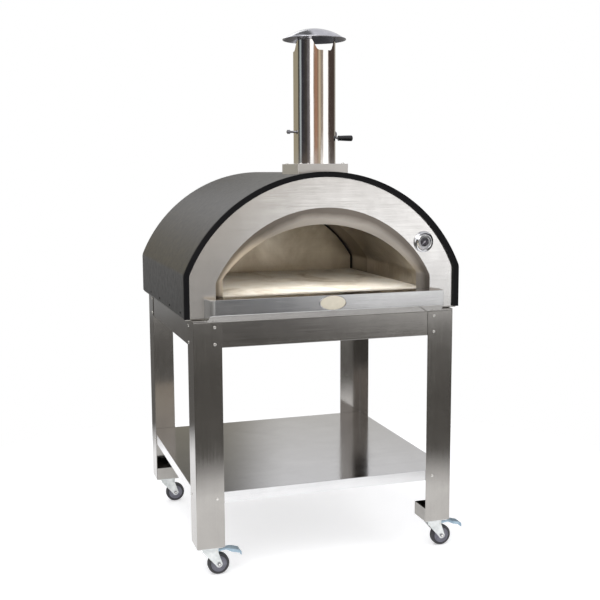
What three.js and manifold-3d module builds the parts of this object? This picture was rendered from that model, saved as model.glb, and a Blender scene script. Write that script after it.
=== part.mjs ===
// Wood fired pizza oven on a wheeled stainless steel stand.
// Units are millimetres, +Z is up and the mouth faces -Y.
// The design is drawn with X = 0 on the oven's centre line and Z = 0 on the floor,
// and the finished group is then centred on its bounding box in X and Y.

import * as THREE from 'three';
import { mergeVertices } from 'three/addons/utils/BufferGeometryUtils.js';
import Module from 'manifold-3d';

const wasm = await Module();
wasm.setup();

// ---------------------------------------------------------------- driving dimensions

const GAP = 0.3; // clearance between pieces that touch
const ARC_STEPS = 36;

// stand
const TABLE_HALF_WIDTH = 485;
const TABLE_FRONT = -444;
const TABLE_BACK = 477;
const TABLE_OVERHANG = 3; // of the table top behind the rear legs
const TABLE_HEIGHT = 911;
const TABLE_PLATE = 8;
const LEG_WIDTH = 100;
const LEG_DEPTH = 97;
const LEG_BOTTOM = 113;
const LEG_SHEET = 2;
const FOOT_WALL = 50;
const BEAM_HEIGHT = 88;
const BEAM_FLANGE = 27;
const SHEET = 2;
const SHELF_TOP = 313;
const SHELF_FLANGE = 39;
const SHELF_CORNER_NOTCH = 6;

// casters, drawn around the swivel axis with the wheel trailing towards +X
const WHEEL_RADIUS = 39;
const WHEEL_TRAIL = 35;
const TREAD_HALF = 13;
const HUB_HALF = 14.4;
const AXLE_RADIUS = 4;
const RUNNING_GAP = 0.3;
const FORK_TOP = 99.7;
const FORK_SHEET = 2.5;
const FORK_INNER_HALF = 14.7;
const CROWN = 3;
const KINGPIN_RADIUS = 5.7;
const KINGPIN_HEAD = 10; // radius under the crown
const PLATE_HALF_X = 44;
const PLATE_HALF_Y = 42;
const PLATE_SHEET = 4;
const RACE_RADIUS = 27;
const CHEEK_FRONT = -24;
const CHEEK_BACK = 33;
const CHEEK_NECK = 90; // height where the cheek's front edge starts to slant
const CHEEK_HEEL = 82; // height where its back edge meets the slope up from the eye
const EYE_RADIUS = 12;
const PEDAL_PIN_X = 27;
const PEDAL_PIN_Z = 88;
const PEDAL_REACH = 116.8;
const PEDAL_SHEET = 3;
const PEDAL_ARM_HALF = 12;
const PEDAL_PAD_HALF = 19;
const PEDAL_PIN_RADIUS = 2.5;

// oven body
const HOOD_FRONT = -435;
const HOOD_BACK = 464;
const HOOD_BOTTOM = 925;
const HOOD_SHEET = 2;
const RIM_WIDTH = 17;
const RIM_DEPTH = 11.7;
const RIM_PROUD = 1.8; // how far the front rim stands out around the hood's skin
const PANEL_RECESS = 2; // of the rear panel inside the hood's back edge
const FASCIA_FRONT = -423;
const FASCIA_SHEET = 1.5;
const THROAT_BACK = -381;
const LEDGE_TOP = 992;
const LEDGE_FRONT = -477.7;
const LEDGE_FACE_BOTTOM = 939;
const LEDGE_LIP_BOTTOM = 915;
const LEDGE_LIP_BACK = -449;
const LEDGE_FLAT_HALF = 413; // the flat front face ends here
const LEDGE_BEND_HALF = 432; // then bends back slightly to here
const LEDGE_BEND = 3;
const LEDGE_BACK_HALF = 441;
const BADGE_X = 5;
const BADGE_THICKNESS = 2;
const BADGE_HALF_WIDTH = 50;
const BADGE_HALF_HEIGHT = 26.5;
const HEARTH_TOP = 995;
const TILE_THICKNESS = 30;
const HEARTH_HALF_WIDTH = 390;
const CHAMBER_BACK = 356;
const TRAY_WALL_TOP = 950;
const BLANKET = 75;

// flue
const FLUE_Y = -296;
const FLUE_RADIUS = 75;
const FLUE_SHEET = 1.5;
const FLUE_BOX_HALF_X = 93;
const FLUE_BOX_HALF_Y = 94;
const FLUE_BOX_TOP = 1446;
const COLLAR_RADIUS = 72;
const COLLAR_TOP = 1458;
const WINDOW_BOTTOM = 1838;
const WINDOW_BOTTOM_HALF = 28;
const WINDOW_TOP_HALF = 46;
const WINDOW_SHOULDER = 1876;
const WINDOW_CORNER = 9;
const WINDOW_DIRECTIONS = [12, 132, 252]; // degrees from the front, counted towards +X
const PIPE_TOP = 1900.5;
const CAP_RADIUS = 113;
const CAP_RIM = 1880;
const CAP_RISE = 38.5;
const DAMPER_Z = 1559;
const DAMPER_PLATE_RADIUS = 70;
const DAMPER_ROD_RADIUS = 4;
const DAMPER_LEFT_END = -104;
const CRANK_DROP = 21;
const GRIP_START = 90;
const GRIP_LENGTH = 54;
const GRIP_RADIUS = 10.5;
const GRIP_SOCKET = 32;
const NUT_RADIUS = 8;
const NUT_THICKNESS = 9;

// thermometer
const GAUGE_X = 373;
const GAUGE_Z = 1165;
const GAUGE_FLANGE_RADIUS = 38;
const GAUGE_BODY_RADIUS = 26;
const DIAL_RADIUS = 22;
const CASE_DEPTH = 17; // how far the case stands out from the fascia
const LENS_SEAT = 12;
const STEM_DEPTH = 14;
const STEM_BORE = 4;
const NEEDLE_REACH = 16;
const NEEDLE_TAIL = 5;
const NEEDLE_SHEET = 0.8;

// ---------------------------------------------------------------- arched outlines

// An arch has straight sides up to a corner and a circular top between the corners.
function arch(halfWidth, cornerZ, topZ) {
  const rise = topZ - cornerZ;
  const radius = (halfWidth * halfWidth + rise * rise) / (2 * rise);
  return { halfWidth, cornerZ, topZ, radius, centreZ: topZ - radius };
}

function inset(outline, distance) {
  const halfWidth = outline.halfWidth - distance;
  const radius = outline.radius - distance;
  const cornerZ = outline.centreZ + Math.sqrt(radius * radius - halfWidth * halfWidth);
  return { halfWidth, cornerZ, topZ: outline.topZ - distance, radius, centreZ: outline.centreZ };
}

const cornerAngle = (outline) => Math.atan2(outline.cornerZ - outline.centreZ, outline.halfWidth);

function archShape(outline, bottomZ) {
  const angle = cornerAngle(outline);
  const shape = new THREE.Shape();
  shape.moveTo(-outline.halfWidth, bottomZ);
  shape.lineTo(outline.halfWidth, bottomZ);
  shape.lineTo(outline.halfWidth, outline.cornerZ);
  shape.absarc(0, outline.centreZ, outline.radius, angle, Math.PI - angle, false);
  shape.lineTo(-outline.halfWidth, bottomZ);
  return shape;
}

function archBand(outer, inner, bottomZ) {
  const outerAngle = cornerAngle(outer);
  const innerAngle = cornerAngle(inner);
  const shape = new THREE.Shape();
  shape.moveTo(outer.halfWidth, bottomZ);
  shape.lineTo(outer.halfWidth, outer.cornerZ);
  shape.absarc(0, outer.centreZ, outer.radius, outerAngle, Math.PI - outerAngle, false);
  shape.lineTo(-outer.halfWidth, bottomZ);
  shape.lineTo(-inner.halfWidth, bottomZ);
  shape.lineTo(-inner.halfWidth, inner.cornerZ);
  shape.absarc(0, inner.centreZ, inner.radius, Math.PI - innerAngle, innerAngle, true);
  shape.lineTo(inner.halfWidth, bottomZ);
  shape.lineTo(outer.halfWidth, bottomZ);
  return shape;
}

const HOOD_ARCH = arch(510, 1075, 1417);
const MOUTH_ARCH = arch(400, 1043, 1294);
const THROAT_ARCH = arch(365, 1052, 1233);
const DOME_ARCH = arch(391, 1054, 1280);

// ---------------------------------------------------------------- solids

function toManifold(geometry) {
  const bare = geometry.clone();
  bare.deleteAttribute('normal');
  bare.deleteAttribute('uv');
  const merged = mergeVertices(bare, 1e-4);
  const vertProperties = new Float32Array(merged.attributes.position.array);
  const triVerts = new Uint32Array(merged.index.array);
  return new wasm.Manifold(new wasm.Mesh({ numProp: 3, vertProperties, triVerts }));
}

function fromManifold(solid) {
  const mesh = solid.getMesh();
  const geometry = new THREE.BufferGeometry();
  geometry.setAttribute('position', new THREE.BufferAttribute(new Float32Array(mesh.vertProperties), 3));
  geometry.setIndex(new THREE.BufferAttribute(new Uint32Array(mesh.triVerts), 1));
  const flat = geometry.toNonIndexed();
  flat.computeVertexNormals();
  return flat;
}

function join(...pieces) {
  const [first, ...others] = pieces.map(toManifold);
  return fromManifold(others.reduce((sum, piece) => sum.add(piece), first));
}

function cut(blank, ...tools) {
  return fromManifold(tools.map(toManifold).reduce((rest, tool) => rest.subtract(tool), toManifold(blank)));
}

function common(first, second) {
  return fromManifold(toManifold(first).intersect(toManifold(second)));
}

function box(x0, x1, y0, y1, z0, z1) {
  const geometry = new THREE.BoxGeometry(x1 - x0, y1 - y0, z1 - z0);
  return geometry.translate((x0 + x1) / 2, (y0 + y1) / 2, (z0 + z1) / 2);
}

function extrude(shape, depth, curveSegments = ARC_STEPS) {
  return new THREE.ExtrudeGeometry(shape, { depth, bevelEnabled: false, curveSegments });
}

// shape drawn in X and Z, made solid from y0 to y1
function slabAlongY(shape, y0, y1, curveSegments = ARC_STEPS) {
  return extrude(shape, y1 - y0, curveSegments).rotateX(Math.PI / 2).translate(0, y1, 0);
}

// shape drawn in X and Y, made solid from z0 to z1
function slabAlongZ(shape, z0, z1) {
  return extrude(shape, z1 - z0).translate(0, 0, z0);
}

// shape drawn in Y and Z, made solid from x0 to x1
function slabAlongX(shape, x0, x1) {
  const turn = new THREE.Matrix4().makeBasis(
    new THREE.Vector3(0, 1, 0),
    new THREE.Vector3(0, 0, 1),
    new THREE.Vector3(1, 0, 0),
  );
  return extrude(shape, x1 - x0).applyMatrix4(turn).translate(x0, 0, 0);
}

function polygon(points) {
  return new THREE.Shape(points.map(([a, b]) => new THREE.Vector2(a, b)));
}

function rodAlongX(radius, x0, x1, y, z, sides = 20) {
  const geometry = new THREE.CylinderGeometry(radius, radius, x1 - x0, sides);
  return geometry.rotateZ(Math.PI / 2).translate((x0 + x1) / 2, y, z);
}

function rodAlongY(radius, y0, y1, x, z, sides = 20) {
  const geometry = new THREE.CylinderGeometry(radius, radius, y1 - y0, sides);
  return geometry.translate(x, (y0 + y1) / 2, z);
}

function rodAlongZ(radius, z0, z1, x, y, sides = 36) {
  const geometry = new THREE.CylinderGeometry(radius, radius, z1 - z0, sides);
  return geometry.rotateX(Math.PI / 2).translate(x, y, (z0 + z1) / 2);
}

// profile of [radius, height] points that closes on itself, turned around Z or Y
function turned(profile, sides, closed = true) {
  const points = profile.map(([radius, height]) => new THREE.Vector2(radius, height));
  if (closed) {
    points.push(points[0].clone());
  }
  return new THREE.LatheGeometry(points, sides);
}

const turnedAroundZ = (profile, sides, closed) => turned(profile, sides, closed).rotateX(Math.PI / 2);

// solid that changes from one outline at y0 to another with as many points at y1
function loftAlongY(frontShape, y0, backShape, y1) {
  const front = frontShape.getPoints(ARC_STEPS).slice(0, -1);
  const back = backShape.getPoints(ARC_STEPS).slice(0, -1);
  const count = front.length;
  const positions = [];
  front.forEach((point) => positions.push(point.x, y0, point.y));
  back.forEach((point) => positions.push(point.x, y1, point.y));
  const index = [];
  for (let i = 0; i < count; i += 1) {
    const next = (i + 1) % count;
    index.push(i, next, count + next);
    index.push(i, count + next, count + i);
  }
  THREE.ShapeUtils.triangulateShape(front, []).forEach(([a, b, c]) => {
    index.push(a, c, b);
    index.push(count + a, count + b, count + c);
  });
  const geometry = new THREE.BufferGeometry();
  geometry.setAttribute('position', new THREE.Float32BufferAttribute(positions, 3));
  geometry.setIndex(index.reverse());
  return geometry;
}

// strip of even thickness along a run of [x, z] points
function ribbon(points, thickness) {
  const run = points.map(([x, z]) => new THREE.Vector2(x, z));
  const upper = [];
  const lower = [];
  run.forEach((point, i) => {
    const before = run[Math.max(i - 1, 0)];
    const after = run[Math.min(i + 1, run.length - 1)];
    const start = i === 0 ? point : before;
    const end = i === run.length - 1 ? point : after;
    const along = end.clone().sub(start).normalize();
    const offset = new THREE.Vector2(-along.y, along.x).multiplyScalar(thickness / 2);
    upper.push(point.clone().add(offset));
    lower.push(point.clone().sub(offset));
  });
  return new THREE.Shape([...upper, ...lower.reverse()]);
}

// ---------------------------------------------------------------- materials

function paint(color, roughness, metalness) {
  return new THREE.MeshStandardMaterial({ color, roughness, metalness });
}

const brushedSteel = paint(0xbdbcb8, 0.38, 1);
const polishedSteel = paint(0xd6d6d4, 0.12, 1);
const warmSteel = paint(0xb5a78f, 0.35, 1);
const blackCoat = paint(0x3a3a39, 0.62, 0.1);
const firebrick = paint(0xd9cdb8, 0.92, 0);
const fibre = paint(0xe6e2d6, 0.98, 0);
const zinc = paint(0xdfe2e4, 0.35, 1);
const blueZinc = paint(0x8ea3b5, 0.35, 1);
const rubber = paint(0x4c4c50, 0.85, 0);
const blackPlastic = paint(0x141414, 0.25, 0);
const enamel = paint(0xe9e2cf, 0.3, 0);
const dialFace = paint(0xf1f1ee, 0.6, 0);
const needlePaint = paint(0xc9c3cd, 0.5, 0);
const glass = new THREE.MeshStandardMaterial({
  color: 0xf4f8fa, roughness: 0.04, metalness: 0, transparent: true, opacity: 0.25,
});

const oven = new THREE.Group();

function place(name, geometry, material, parent = oven) {
  const mesh = new THREE.Mesh(geometry, material);
  mesh.name = name;
  parent.add(mesh);
  return mesh;
}

// ---------------------------------------------------------------- stand

const corners = [
  { name: 'front_left', side: -1, end: -1 },
  { name: 'front_right', side: 1, end: -1 },
  { name: 'rear_left', side: -1, end: 1 },
  { name: 'rear_right', side: 1, end: 1 },
];

// box measured from a table corner inwards: u runs in from the side, v in from the front or back
function cornerBox(corner, u0, u1, v0, v1, z0, z1) {
  const edgeX = corner.side * TABLE_HALF_WIDTH;
  const edgeY = corner.end < 0 ? TABLE_FRONT : TABLE_BACK;
  const x = [edgeX - corner.side * u0, edgeX - corner.side * u1].sort((a, b) => a - b);
  const y = [edgeY - corner.end * v0, edgeY - corner.end * v1].sort((a, b) => a - b);
  return box(x[0], x[1], y[0], y[1], z0, z1);
}

function leg(corner) {
  const facePlate = cornerBox(corner, 0, LEG_WIDTH, 0, LEG_SHEET, LEG_BOTTOM, TABLE_HEIGHT);
  const sidePlate = cornerBox(corner, 0, LEG_SHEET, 0, LEG_DEPTH, LEG_BOTTOM, TABLE_HEIGHT);
  return join(facePlate, sidePlate);
}

function footBox(corner) {
  const near = LEG_SHEET + GAP;
  const wallTop = LEG_BOTTOM + FOOT_WALL;
  const floor = cornerBox(corner, near, LEG_WIDTH, near, LEG_DEPTH, LEG_BOTTOM, LEG_BOTTOM + SHEET);
  const sideWall = cornerBox(corner, LEG_WIDTH - SHEET, LEG_WIDTH, near, LEG_DEPTH, LEG_BOTTOM, wallTop);
  const endWall = cornerBox(corner, near, LEG_WIDTH, LEG_DEPTH - SHEET, LEG_DEPTH, LEG_BOTTOM, wallTop);
  return join(floor, sideWall, endWall);
}

// upright web with a flange along its top and bottom edges, both turned inwards
function channelShape(webOuter, inwards) {
  const top = TABLE_HEIGHT - GAP;
  const bottom = TABLE_HEIGHT - BEAM_HEIGHT;
  const webInner = webOuter + inwards * SHEET;
  const lip = webOuter + inwards * BEAM_FLANGE;
  return polygon([
    [webOuter, bottom],
    [lip, bottom],
    [lip, bottom + SHEET],
    [webInner, bottom + SHEET],
    [webInner, top - SHEET],
    [lip, top - SHEET],
    [lip, top],
    [webOuter, top],
  ]);
}

function lowerShelf() {
  const reach = LEG_SHEET + GAP;
  const halfX = TABLE_HALF_WIDTH - reach;
  const y0 = TABLE_FRONT + reach;
  const y1 = TABLE_BACK - reach;
  const z0 = SHELF_TOP - SHELF_FLANGE;
  const blank = box(-halfX, halfX, y0, y1, z0, SHELF_TOP);
  const hollow = box(-halfX + SHEET, halfX - SHEET, y0 + SHEET, y1 - SHEET, z0 - 1, SHELF_TOP - SHEET);
  const notches = corners.map((corner) => cornerBox(
    corner, 0, reach + SHELF_CORNER_NOTCH, 0, reach + SHELF_CORNER_NOTCH, z0 - 1, SHELF_TOP + 1,
  ));
  return cut(blank, hollow, ...notches);
}

function buildStand() {
  corners.forEach((corner) => {
    place(`leg_${corner.name}`, leg(corner), brushedSteel);
    place(`foot_box_${corner.name}`, footBox(corner), brushedSteel);
  });
  const inner = LEG_SHEET + GAP;
  const beamHalf = TABLE_HALF_WIDTH - inner;
  const sideStart = TABLE_FRONT + inner + BEAM_FLANGE + GAP;
  const sideEnd = TABLE_BACK - inner - BEAM_FLANGE - GAP;
  const webX = TABLE_HALF_WIDTH - inner;
  place('beam_front', slabAlongX(channelShape(TABLE_FRONT + inner, 1), -beamHalf, beamHalf), brushedSteel);
  place('beam_rear', slabAlongX(channelShape(TABLE_BACK - inner, -1), -beamHalf, beamHalf), brushedSteel);
  place('beam_left', slabAlongY(channelShape(-webX, 1), sideStart, sideEnd), brushedSteel);
  place('beam_right', slabAlongY(channelShape(webX, -1), sideStart, sideEnd), brushedSteel);
  const tableTop = box(
    -TABLE_HALF_WIDTH, TABLE_HALF_WIDTH, TABLE_FRONT, TABLE_BACK + TABLE_OVERHANG,
    TABLE_HEIGHT + GAP, TABLE_HEIGHT + TABLE_PLATE,
  );
  place('table_top', tableTop, brushedSteel);
  place('lower_shelf', lowerShelf(), polishedSteel);
}

// ---------------------------------------------------------------- casters

function casterPlate() {
  const plateTop = LEG_BOTTOM - GAP;
  const plateBottom = plateTop - PLATE_SHEET;
  const crownBottom = FORK_TOP - CROWN;
  const plate = box(-PLATE_HALF_X, PLATE_HALF_X, -PLATE_HALF_Y, PLATE_HALF_Y, plateBottom, plateTop);
  const race = rodAlongZ(RACE_RADIUS, FORK_TOP + GAP, plateBottom, 0, 0, 28);
  const kingpin = rodAlongZ(KINGPIN_RADIUS, crownBottom - 4, FORK_TOP + 1, 0, 0, 16);
  const head = rodAlongZ(KINGPIN_HEAD, crownBottom - 7, crownBottom - GAP, 0, 0, 16);
  return join(plate, race, kingpin, head);
}

function forkCheek() {
  const eyeStart = THREE.MathUtils.degToRad(200);
  const eyeEnd = THREE.MathUtils.degToRad(375);
  const shape = new THREE.Shape();
  shape.moveTo(CHEEK_FRONT, FORK_TOP);
  shape.lineTo(CHEEK_FRONT, CHEEK_NECK);
  shape.absarc(WHEEL_TRAIL, WHEEL_RADIUS, EYE_RADIUS, eyeStart, eyeEnd, false);
  shape.lineTo(CHEEK_BACK, CHEEK_HEEL);
  shape.lineTo(CHEEK_BACK, FORK_TOP);
  return shape;
}

function casterFork() {
  const outer = FORK_INNER_HALF + FORK_SHEET;
  const cheeks = [-1, 1].map((side) => {
    const faces = [side * FORK_INNER_HALF, side * outer].sort((a, b) => a - b);
    return slabAlongY(forkCheek(), faces[0], faces[1], 10);
  });
  const crown = box(CHEEK_FRONT, CHEEK_BACK, -outer, outer, FORK_TOP - CROWN, FORK_TOP);
  const kingpinHole = rodAlongZ(KINGPIN_RADIUS + RUNNING_GAP, FORK_TOP - 10, FORK_TOP + 10, 0, 0, 16);
  const axleHole = rodAlongY(AXLE_RADIUS + RUNNING_GAP, -30, 30, WHEEL_TRAIL, WHEEL_RADIUS, 16);
  const pedalHole = rodAlongY(PEDAL_PIN_RADIUS + RUNNING_GAP, -30, 30, PEDAL_PIN_X, PEDAL_PIN_Z, 12);
  return cut(join(crown, ...cheeks), kingpinHole, axleHole, pedalHole);
}

function casterWheel() {
  const half = [
    [AXLE_RADIUS + RUNNING_GAP, HUB_HALF],
    [11, HUB_HALF],
    [13, 8],
    [27, 8],
    [29, 12],
    [33, TREAD_HALF],
    [37.5, 10],
    [WHEEL_RADIUS, 5.5],
  ];
  const profile = [...half, ...half.map(([radius, y]) => [radius, -y]).reverse()];
  return turned(profile.reverse(), 26).translate(WHEEL_TRAIL, 0, WHEEL_RADIUS);
}

function casterAxle() {
  const outer = FORK_INNER_HALF + FORK_SHEET + GAP;
  const shaft = rodAlongY(AXLE_RADIUS, -outer - 4, outer + 5, WHEEL_TRAIL, WHEEL_RADIUS, 16);
  const head = rodAlongY(7, -outer - 4.5, -outer, WHEEL_TRAIL, WHEEL_RADIUS, 6);
  const nut = rodAlongY(7, outer, outer + 5.5, WHEEL_TRAIL, WHEEL_RADIUS, 6);
  return join(shaft, head, nut);
}

function brakePedal() {
  const tip = PEDAL_REACH - PEDAL_SHEET / 2;
  const start = [PEDAL_PIN_X + 1, PEDAL_PIN_Z];
  const run = [start, [48, 91.5], [66, 92], [84, 89.5], [101, 85], [tip, 79], [tip, 64]];
  const arm = slabAlongY(ribbon(run.slice(0, 4), PEDAL_SHEET), -PEDAL_ARM_HALF, PEDAL_ARM_HALF);
  const pad = slabAlongY(ribbon(run.slice(2), PEDAL_SHEET), -PEDAL_PAD_HALF, PEDAL_PAD_HALF);
  const hinge = (radius, half, sides) => rodAlongY(radius, -half, half, PEDAL_PIN_X, PEDAL_PIN_Z, sides);
  const barrel = hinge(PEDAL_PIN_RADIUS + 2, PEDAL_ARM_HALF, 14);
  const pin = hinge(PEDAL_PIN_RADIUS, FORK_INNER_HALF + FORK_SHEET - 0.4, 12);
  const shoe = box(PEDAL_PIN_X - 4, PEDAL_PIN_X + 4, -8, 8, PEDAL_PIN_Z - 8, PEDAL_PIN_Z);
  return join(arm, pad, barrel, pin, shoe);
}

function buildCasters() {
  corners.forEach((corner) => {
    const caster = new THREE.Group();
    const edgeY = corner.end < 0 ? TABLE_FRONT : TABLE_BACK;
    caster.position.x = corner.side * (TABLE_HALF_WIDTH - LEG_WIDTH / 2);
    caster.position.y = edgeY - corner.end * (LEG_DEPTH / 2);
    place(`caster_plate_${corner.name}`, casterPlate(), zinc, caster);
    place(`caster_fork_${corner.name}`, casterFork(), zinc, caster);
    place(`caster_wheel_${corner.name}`, casterWheel(), rubber, caster);
    place(`caster_axle_${corner.name}`, casterAxle(), zinc, caster);
    if (corner.end < 0) {
      place(`brake_pedal_${corner.name}`, brakePedal(), blueZinc, caster);
    }
    oven.add(caster);
  });
}

// ---------------------------------------------------------------- oven body

const flueBore = (radius, z0, z1) => rodAlongZ(radius, z0, z1, 0, FLUE_Y, 48);

function hoodShell() {
  const skinShape = archBand(HOOD_ARCH, inset(HOOD_ARCH, HOOD_SHEET), HOOD_BOTTOM);
  const skin = slabAlongY(skinShape, HOOD_FRONT, HOOD_BACK);
  const rimShape = archBand(inset(HOOD_ARCH, -RIM_PROUD), inset(HOOD_ARCH, RIM_WIDTH), HOOD_BOTTOM);
  const rim = slabAlongY(rimShape, HOOD_FRONT, HOOD_FRONT + RIM_DEPTH);
  return cut(join(skin, rim), flueBore(COLLAR_RADIUS + GAP, HOOD_ARCH.topZ - 70, HOOD_ARCH.topZ + 30));
}

function rearPanel() {
  const panel = archShape(inset(HOOD_ARCH, HOOD_SHEET + GAP), HOOD_BOTTOM);
  return slabAlongY(panel, HOOD_BACK - PANEL_RECESS - SHEET, HOOD_BACK - PANEL_RECESS);
}

function frontFascia() {
  const outline = archShape(inset(HOOD_ARCH, HOOD_SHEET + GAP), HOOD_BOTTOM);
  const plate = slabAlongY(outline, FASCIA_FRONT, FASCIA_FRONT + FASCIA_SHEET);
  const mouth = slabAlongY(
    archShape(MOUTH_ARCH, LEDGE_TOP - SHEET - GAP), FASCIA_FRONT - 5, FASCIA_FRONT + 5,
  );
  const holeRadius = GAUGE_BODY_RADIUS + GAP;
  const gaugeHole = rodAlongY(holeRadius, FASCIA_FRONT - 5, FASCIA_FRONT + 5, GAUGE_X, GAUGE_Z, 32);
  return cut(plate, mouth, gaugeHole);
}

// splayed stainless band from the fascia to the chamber, with a flange that closes the dome's front
function mouthThroat() {
  const y0 = FASCIA_FRONT + FASCIA_SHEET + GAP;
  const bottom = LEDGE_TOP + GAP;
  const flangeFront = THROAT_BACK - SHEET;
  const outer = loftAlongY(
    archShape(inset(MOUTH_ARCH, -SHEET), bottom), y0,
    archShape(inset(THROAT_ARCH, -SHEET), bottom), THROAT_BACK,
  );
  const inner = loftAlongY(
    archShape(MOUTH_ARCH, bottom - 1), y0 - 0.01,
    archShape(THROAT_ARCH, bottom - 1), THROAT_BACK + 0.01,
  );
  const flangeBand = archBand(inset(DOME_ARCH, -SHEET), inset(THROAT_ARCH, -SHEET / 2), bottom);
  const flange = slabAlongY(flangeBand, flangeFront, THROAT_BACK);
  return cut(join(outer, flange), inner);
}

function mouthLedge() {
  const back = FASCIA_FRONT - GAP;
  const overTable = TABLE_HEIGHT + TABLE_PLATE + GAP;
  const plan = (trim) => polygon([
    [-LEDGE_FLAT_HALF + trim, LEDGE_FRONT + trim],
    [LEDGE_FLAT_HALF - trim, LEDGE_FRONT + trim],
    [LEDGE_BEND_HALF - trim, LEDGE_FRONT + LEDGE_BEND + trim],
    [LEDGE_BACK_HALF - trim, back + 5 * trim],
    [-LEDGE_BACK_HALF + trim, back + 5 * trim],
    [-LEDGE_BEND_HALF + trim, LEDGE_FRONT + LEDGE_BEND + trim],
  ]);
  const outerSide = polygon([
    [LEDGE_FRONT - 1, LEDGE_TOP],
    [LEDGE_FRONT - 1, LEDGE_FACE_BOTTOM + 0.8],
    [LEDGE_LIP_BACK, LEDGE_LIP_BOTTOM],
    [TABLE_FRONT - GAP, LEDGE_LIP_BOTTOM],
    [TABLE_FRONT - GAP, overTable],
    [back, overTable],
    [back, LEDGE_TOP],
  ]);
  const innerSide = polygon([
    [LEDGE_FRONT + SHEET - 1, LEDGE_TOP - SHEET],
    [LEDGE_FRONT + SHEET - 1, LEDGE_FACE_BOTTOM + 1.8],
    [LEDGE_LIP_BACK + 1.2, LEDGE_LIP_BOTTOM + 1.6],
    [LEDGE_LIP_BACK + 7.5, LEDGE_LIP_BOTTOM - 3.3],
    [back + 5, LEDGE_LIP_BOTTOM - 3.3],
    [back + 5, LEDGE_TOP - SHEET],
  ]);
  const z0 = LEDGE_LIP_BOTTOM - 10;
  const blank = common(slabAlongZ(plan(0), z0, LEDGE_TOP), slabAlongX(outerSide, -450, 450));
  const hollow = common(slabAlongZ(plan(SHEET), z0, LEDGE_TOP), slabAlongX(innerSide, -450, 450));
  const reach = MOUTH_ARCH.halfWidth - 2;
  const tongueShape = polygon([
    [-reach, back - 1],
    [reach, back - 1],
    [reach, FASCIA_FRONT + FASCIA_SHEET + GAP],
    [THROAT_ARCH.halfWidth, THROAT_BACK],
    [-THROAT_ARCH.halfWidth, THROAT_BACK],
    [-reach, FASCIA_FRONT + FASCIA_SHEET + GAP],
  ]);
  const tongue = slabAlongZ(tongueShape, LEDGE_TOP - SHEET, LEDGE_TOP);
  return join(cut(blank, hollow), tongue);
}

function ovalBadge() {
  const shape = new THREE.Shape();
  const z = (LEDGE_TOP + LEDGE_FACE_BOTTOM) / 2;
  shape.absellipse(BADGE_X, z, BADGE_HALF_WIDTH, BADGE_HALF_HEIGHT, 0, 2 * Math.PI);
  const back = LEDGE_FRONT - GAP;
  return slabAlongY(shape, back - BADGE_THICKNESS, back);
}

function innerDome() {
  const bottom = HEARTH_TOP - TILE_THICKNESS;
  const band = archBand(inset(DOME_ARCH, -SHEET), DOME_ARCH, bottom);
  const shell = slabAlongY(band, THROAT_BACK + GAP, CHAMBER_BACK - GAP);
  return cut(shell, flueBore(COLLAR_RADIUS - 2, DOME_ARCH.topZ - 80, DOME_ARCH.topZ + 80));
}

function innerBackWall() {
  const plate = archShape(inset(DOME_ARCH, -SHEET), HEARTH_TOP - TILE_THICKNESS);
  return slabAlongY(plate, CHAMBER_BACK, CHAMBER_BACK + SHEET);
}

function insulationBlanket() {
  const bottom = HEARTH_TOP - TILE_THICKNESS;
  const domeSide = inset(DOME_ARCH, -SHEET - GAP);
  const coldSide = inset(domeSide, -BLANKET);
  const wallBack = CHAMBER_BACK + SHEET + GAP;
  const overDome = slabAlongY(archBand(coldSide, domeSide, bottom), THROAT_BACK + 2, wallBack + BLANKET);
  const behindWall = slabAlongY(archShape(inset(coldSide, 10), bottom), wallBack, wallBack + BLANKET);
  const smokeWay = flueBore(COLLAR_RADIUS + GAP, DOME_ARCH.topZ - 80, DOME_ARCH.topZ + BLANKET + 45);
  return cut(join(overDome, behindWall), smokeWay);
}

function baseTray() {
  const halfX = HOOD_ARCH.halfWidth - HOOD_SHEET - 0.5;
  const y0 = FASCIA_FRONT + FASCIA_SHEET + GAP;
  const y1 = HOOD_BACK - PANEL_RECESS - SHEET - GAP;
  const z0 = TABLE_HEIGHT + TABLE_PLATE + GAP;
  const blank = box(-halfX, halfX, y0, y1, z0, TRAY_WALL_TOP);
  const hollow = box(-halfX + SHEET, halfX - SHEET, y0 + SHEET, y1 - SHEET, z0 + SHEET, TRAY_WALL_TOP + 1);
  return cut(blank, hollow);
}

function buildOvenBody() {
  place('hood_shell', hoodShell(), blackCoat);
  place('rear_panel', rearPanel(), blackCoat);
  place('front_fascia', frontFascia(), brushedSteel);
  place('mouth_throat', mouthThroat(), brushedSteel);
  place('mouth_ledge', mouthLedge(), brushedSteel);
  place('oval_badge', ovalBadge(), enamel);
  place('inner_dome', innerDome(), warmSteel);
  place('inner_back_wall', innerBackWall(), warmSteel);
  place('insulation_blanket', insulationBlanket(), fibre);
  place('base_tray', baseTray(), brushedSteel);

  const tileBottom = HEARTH_TOP - TILE_THICKNESS;
  const boardBottom = TABLE_HEIGHT + TABLE_PLATE + SHEET + 2 * GAP;
  const boardBack = CHAMBER_BACK + BLANKET;
  const boardHalf = DOME_ARCH.halfWidth + BLANKET;
  const board = box(-boardHalf, boardHalf, THROAT_BACK + 2, boardBack, boardBottom, tileBottom - GAP);
  place('floor_insulation', board, fibre);

  const middleY = (THROAT_BACK + CHAMBER_BACK) / 2;
  const columns = [[-HEARTH_HALF_WIDTH, -GAP / 2], [GAP / 2, HEARTH_HALF_WIDTH]];
  const rows = [[THROAT_BACK + GAP, middleY - GAP / 2], [middleY + GAP / 2, CHAMBER_BACK - GAP]];
  const tileNames = ['front_left', 'front_right', 'rear_left', 'rear_right'];
  rows.forEach(([y0, y1], row) => {
    columns.forEach(([x0, x1], column) => {
      const name = `hearth_tile_${tileNames[2 * row + column]}`;
      place(name, box(x0, x1, y0, y1, tileBottom, HEARTH_TOP), firebrick);
    });
  });
}

// ---------------------------------------------------------------- flue and damper

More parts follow.
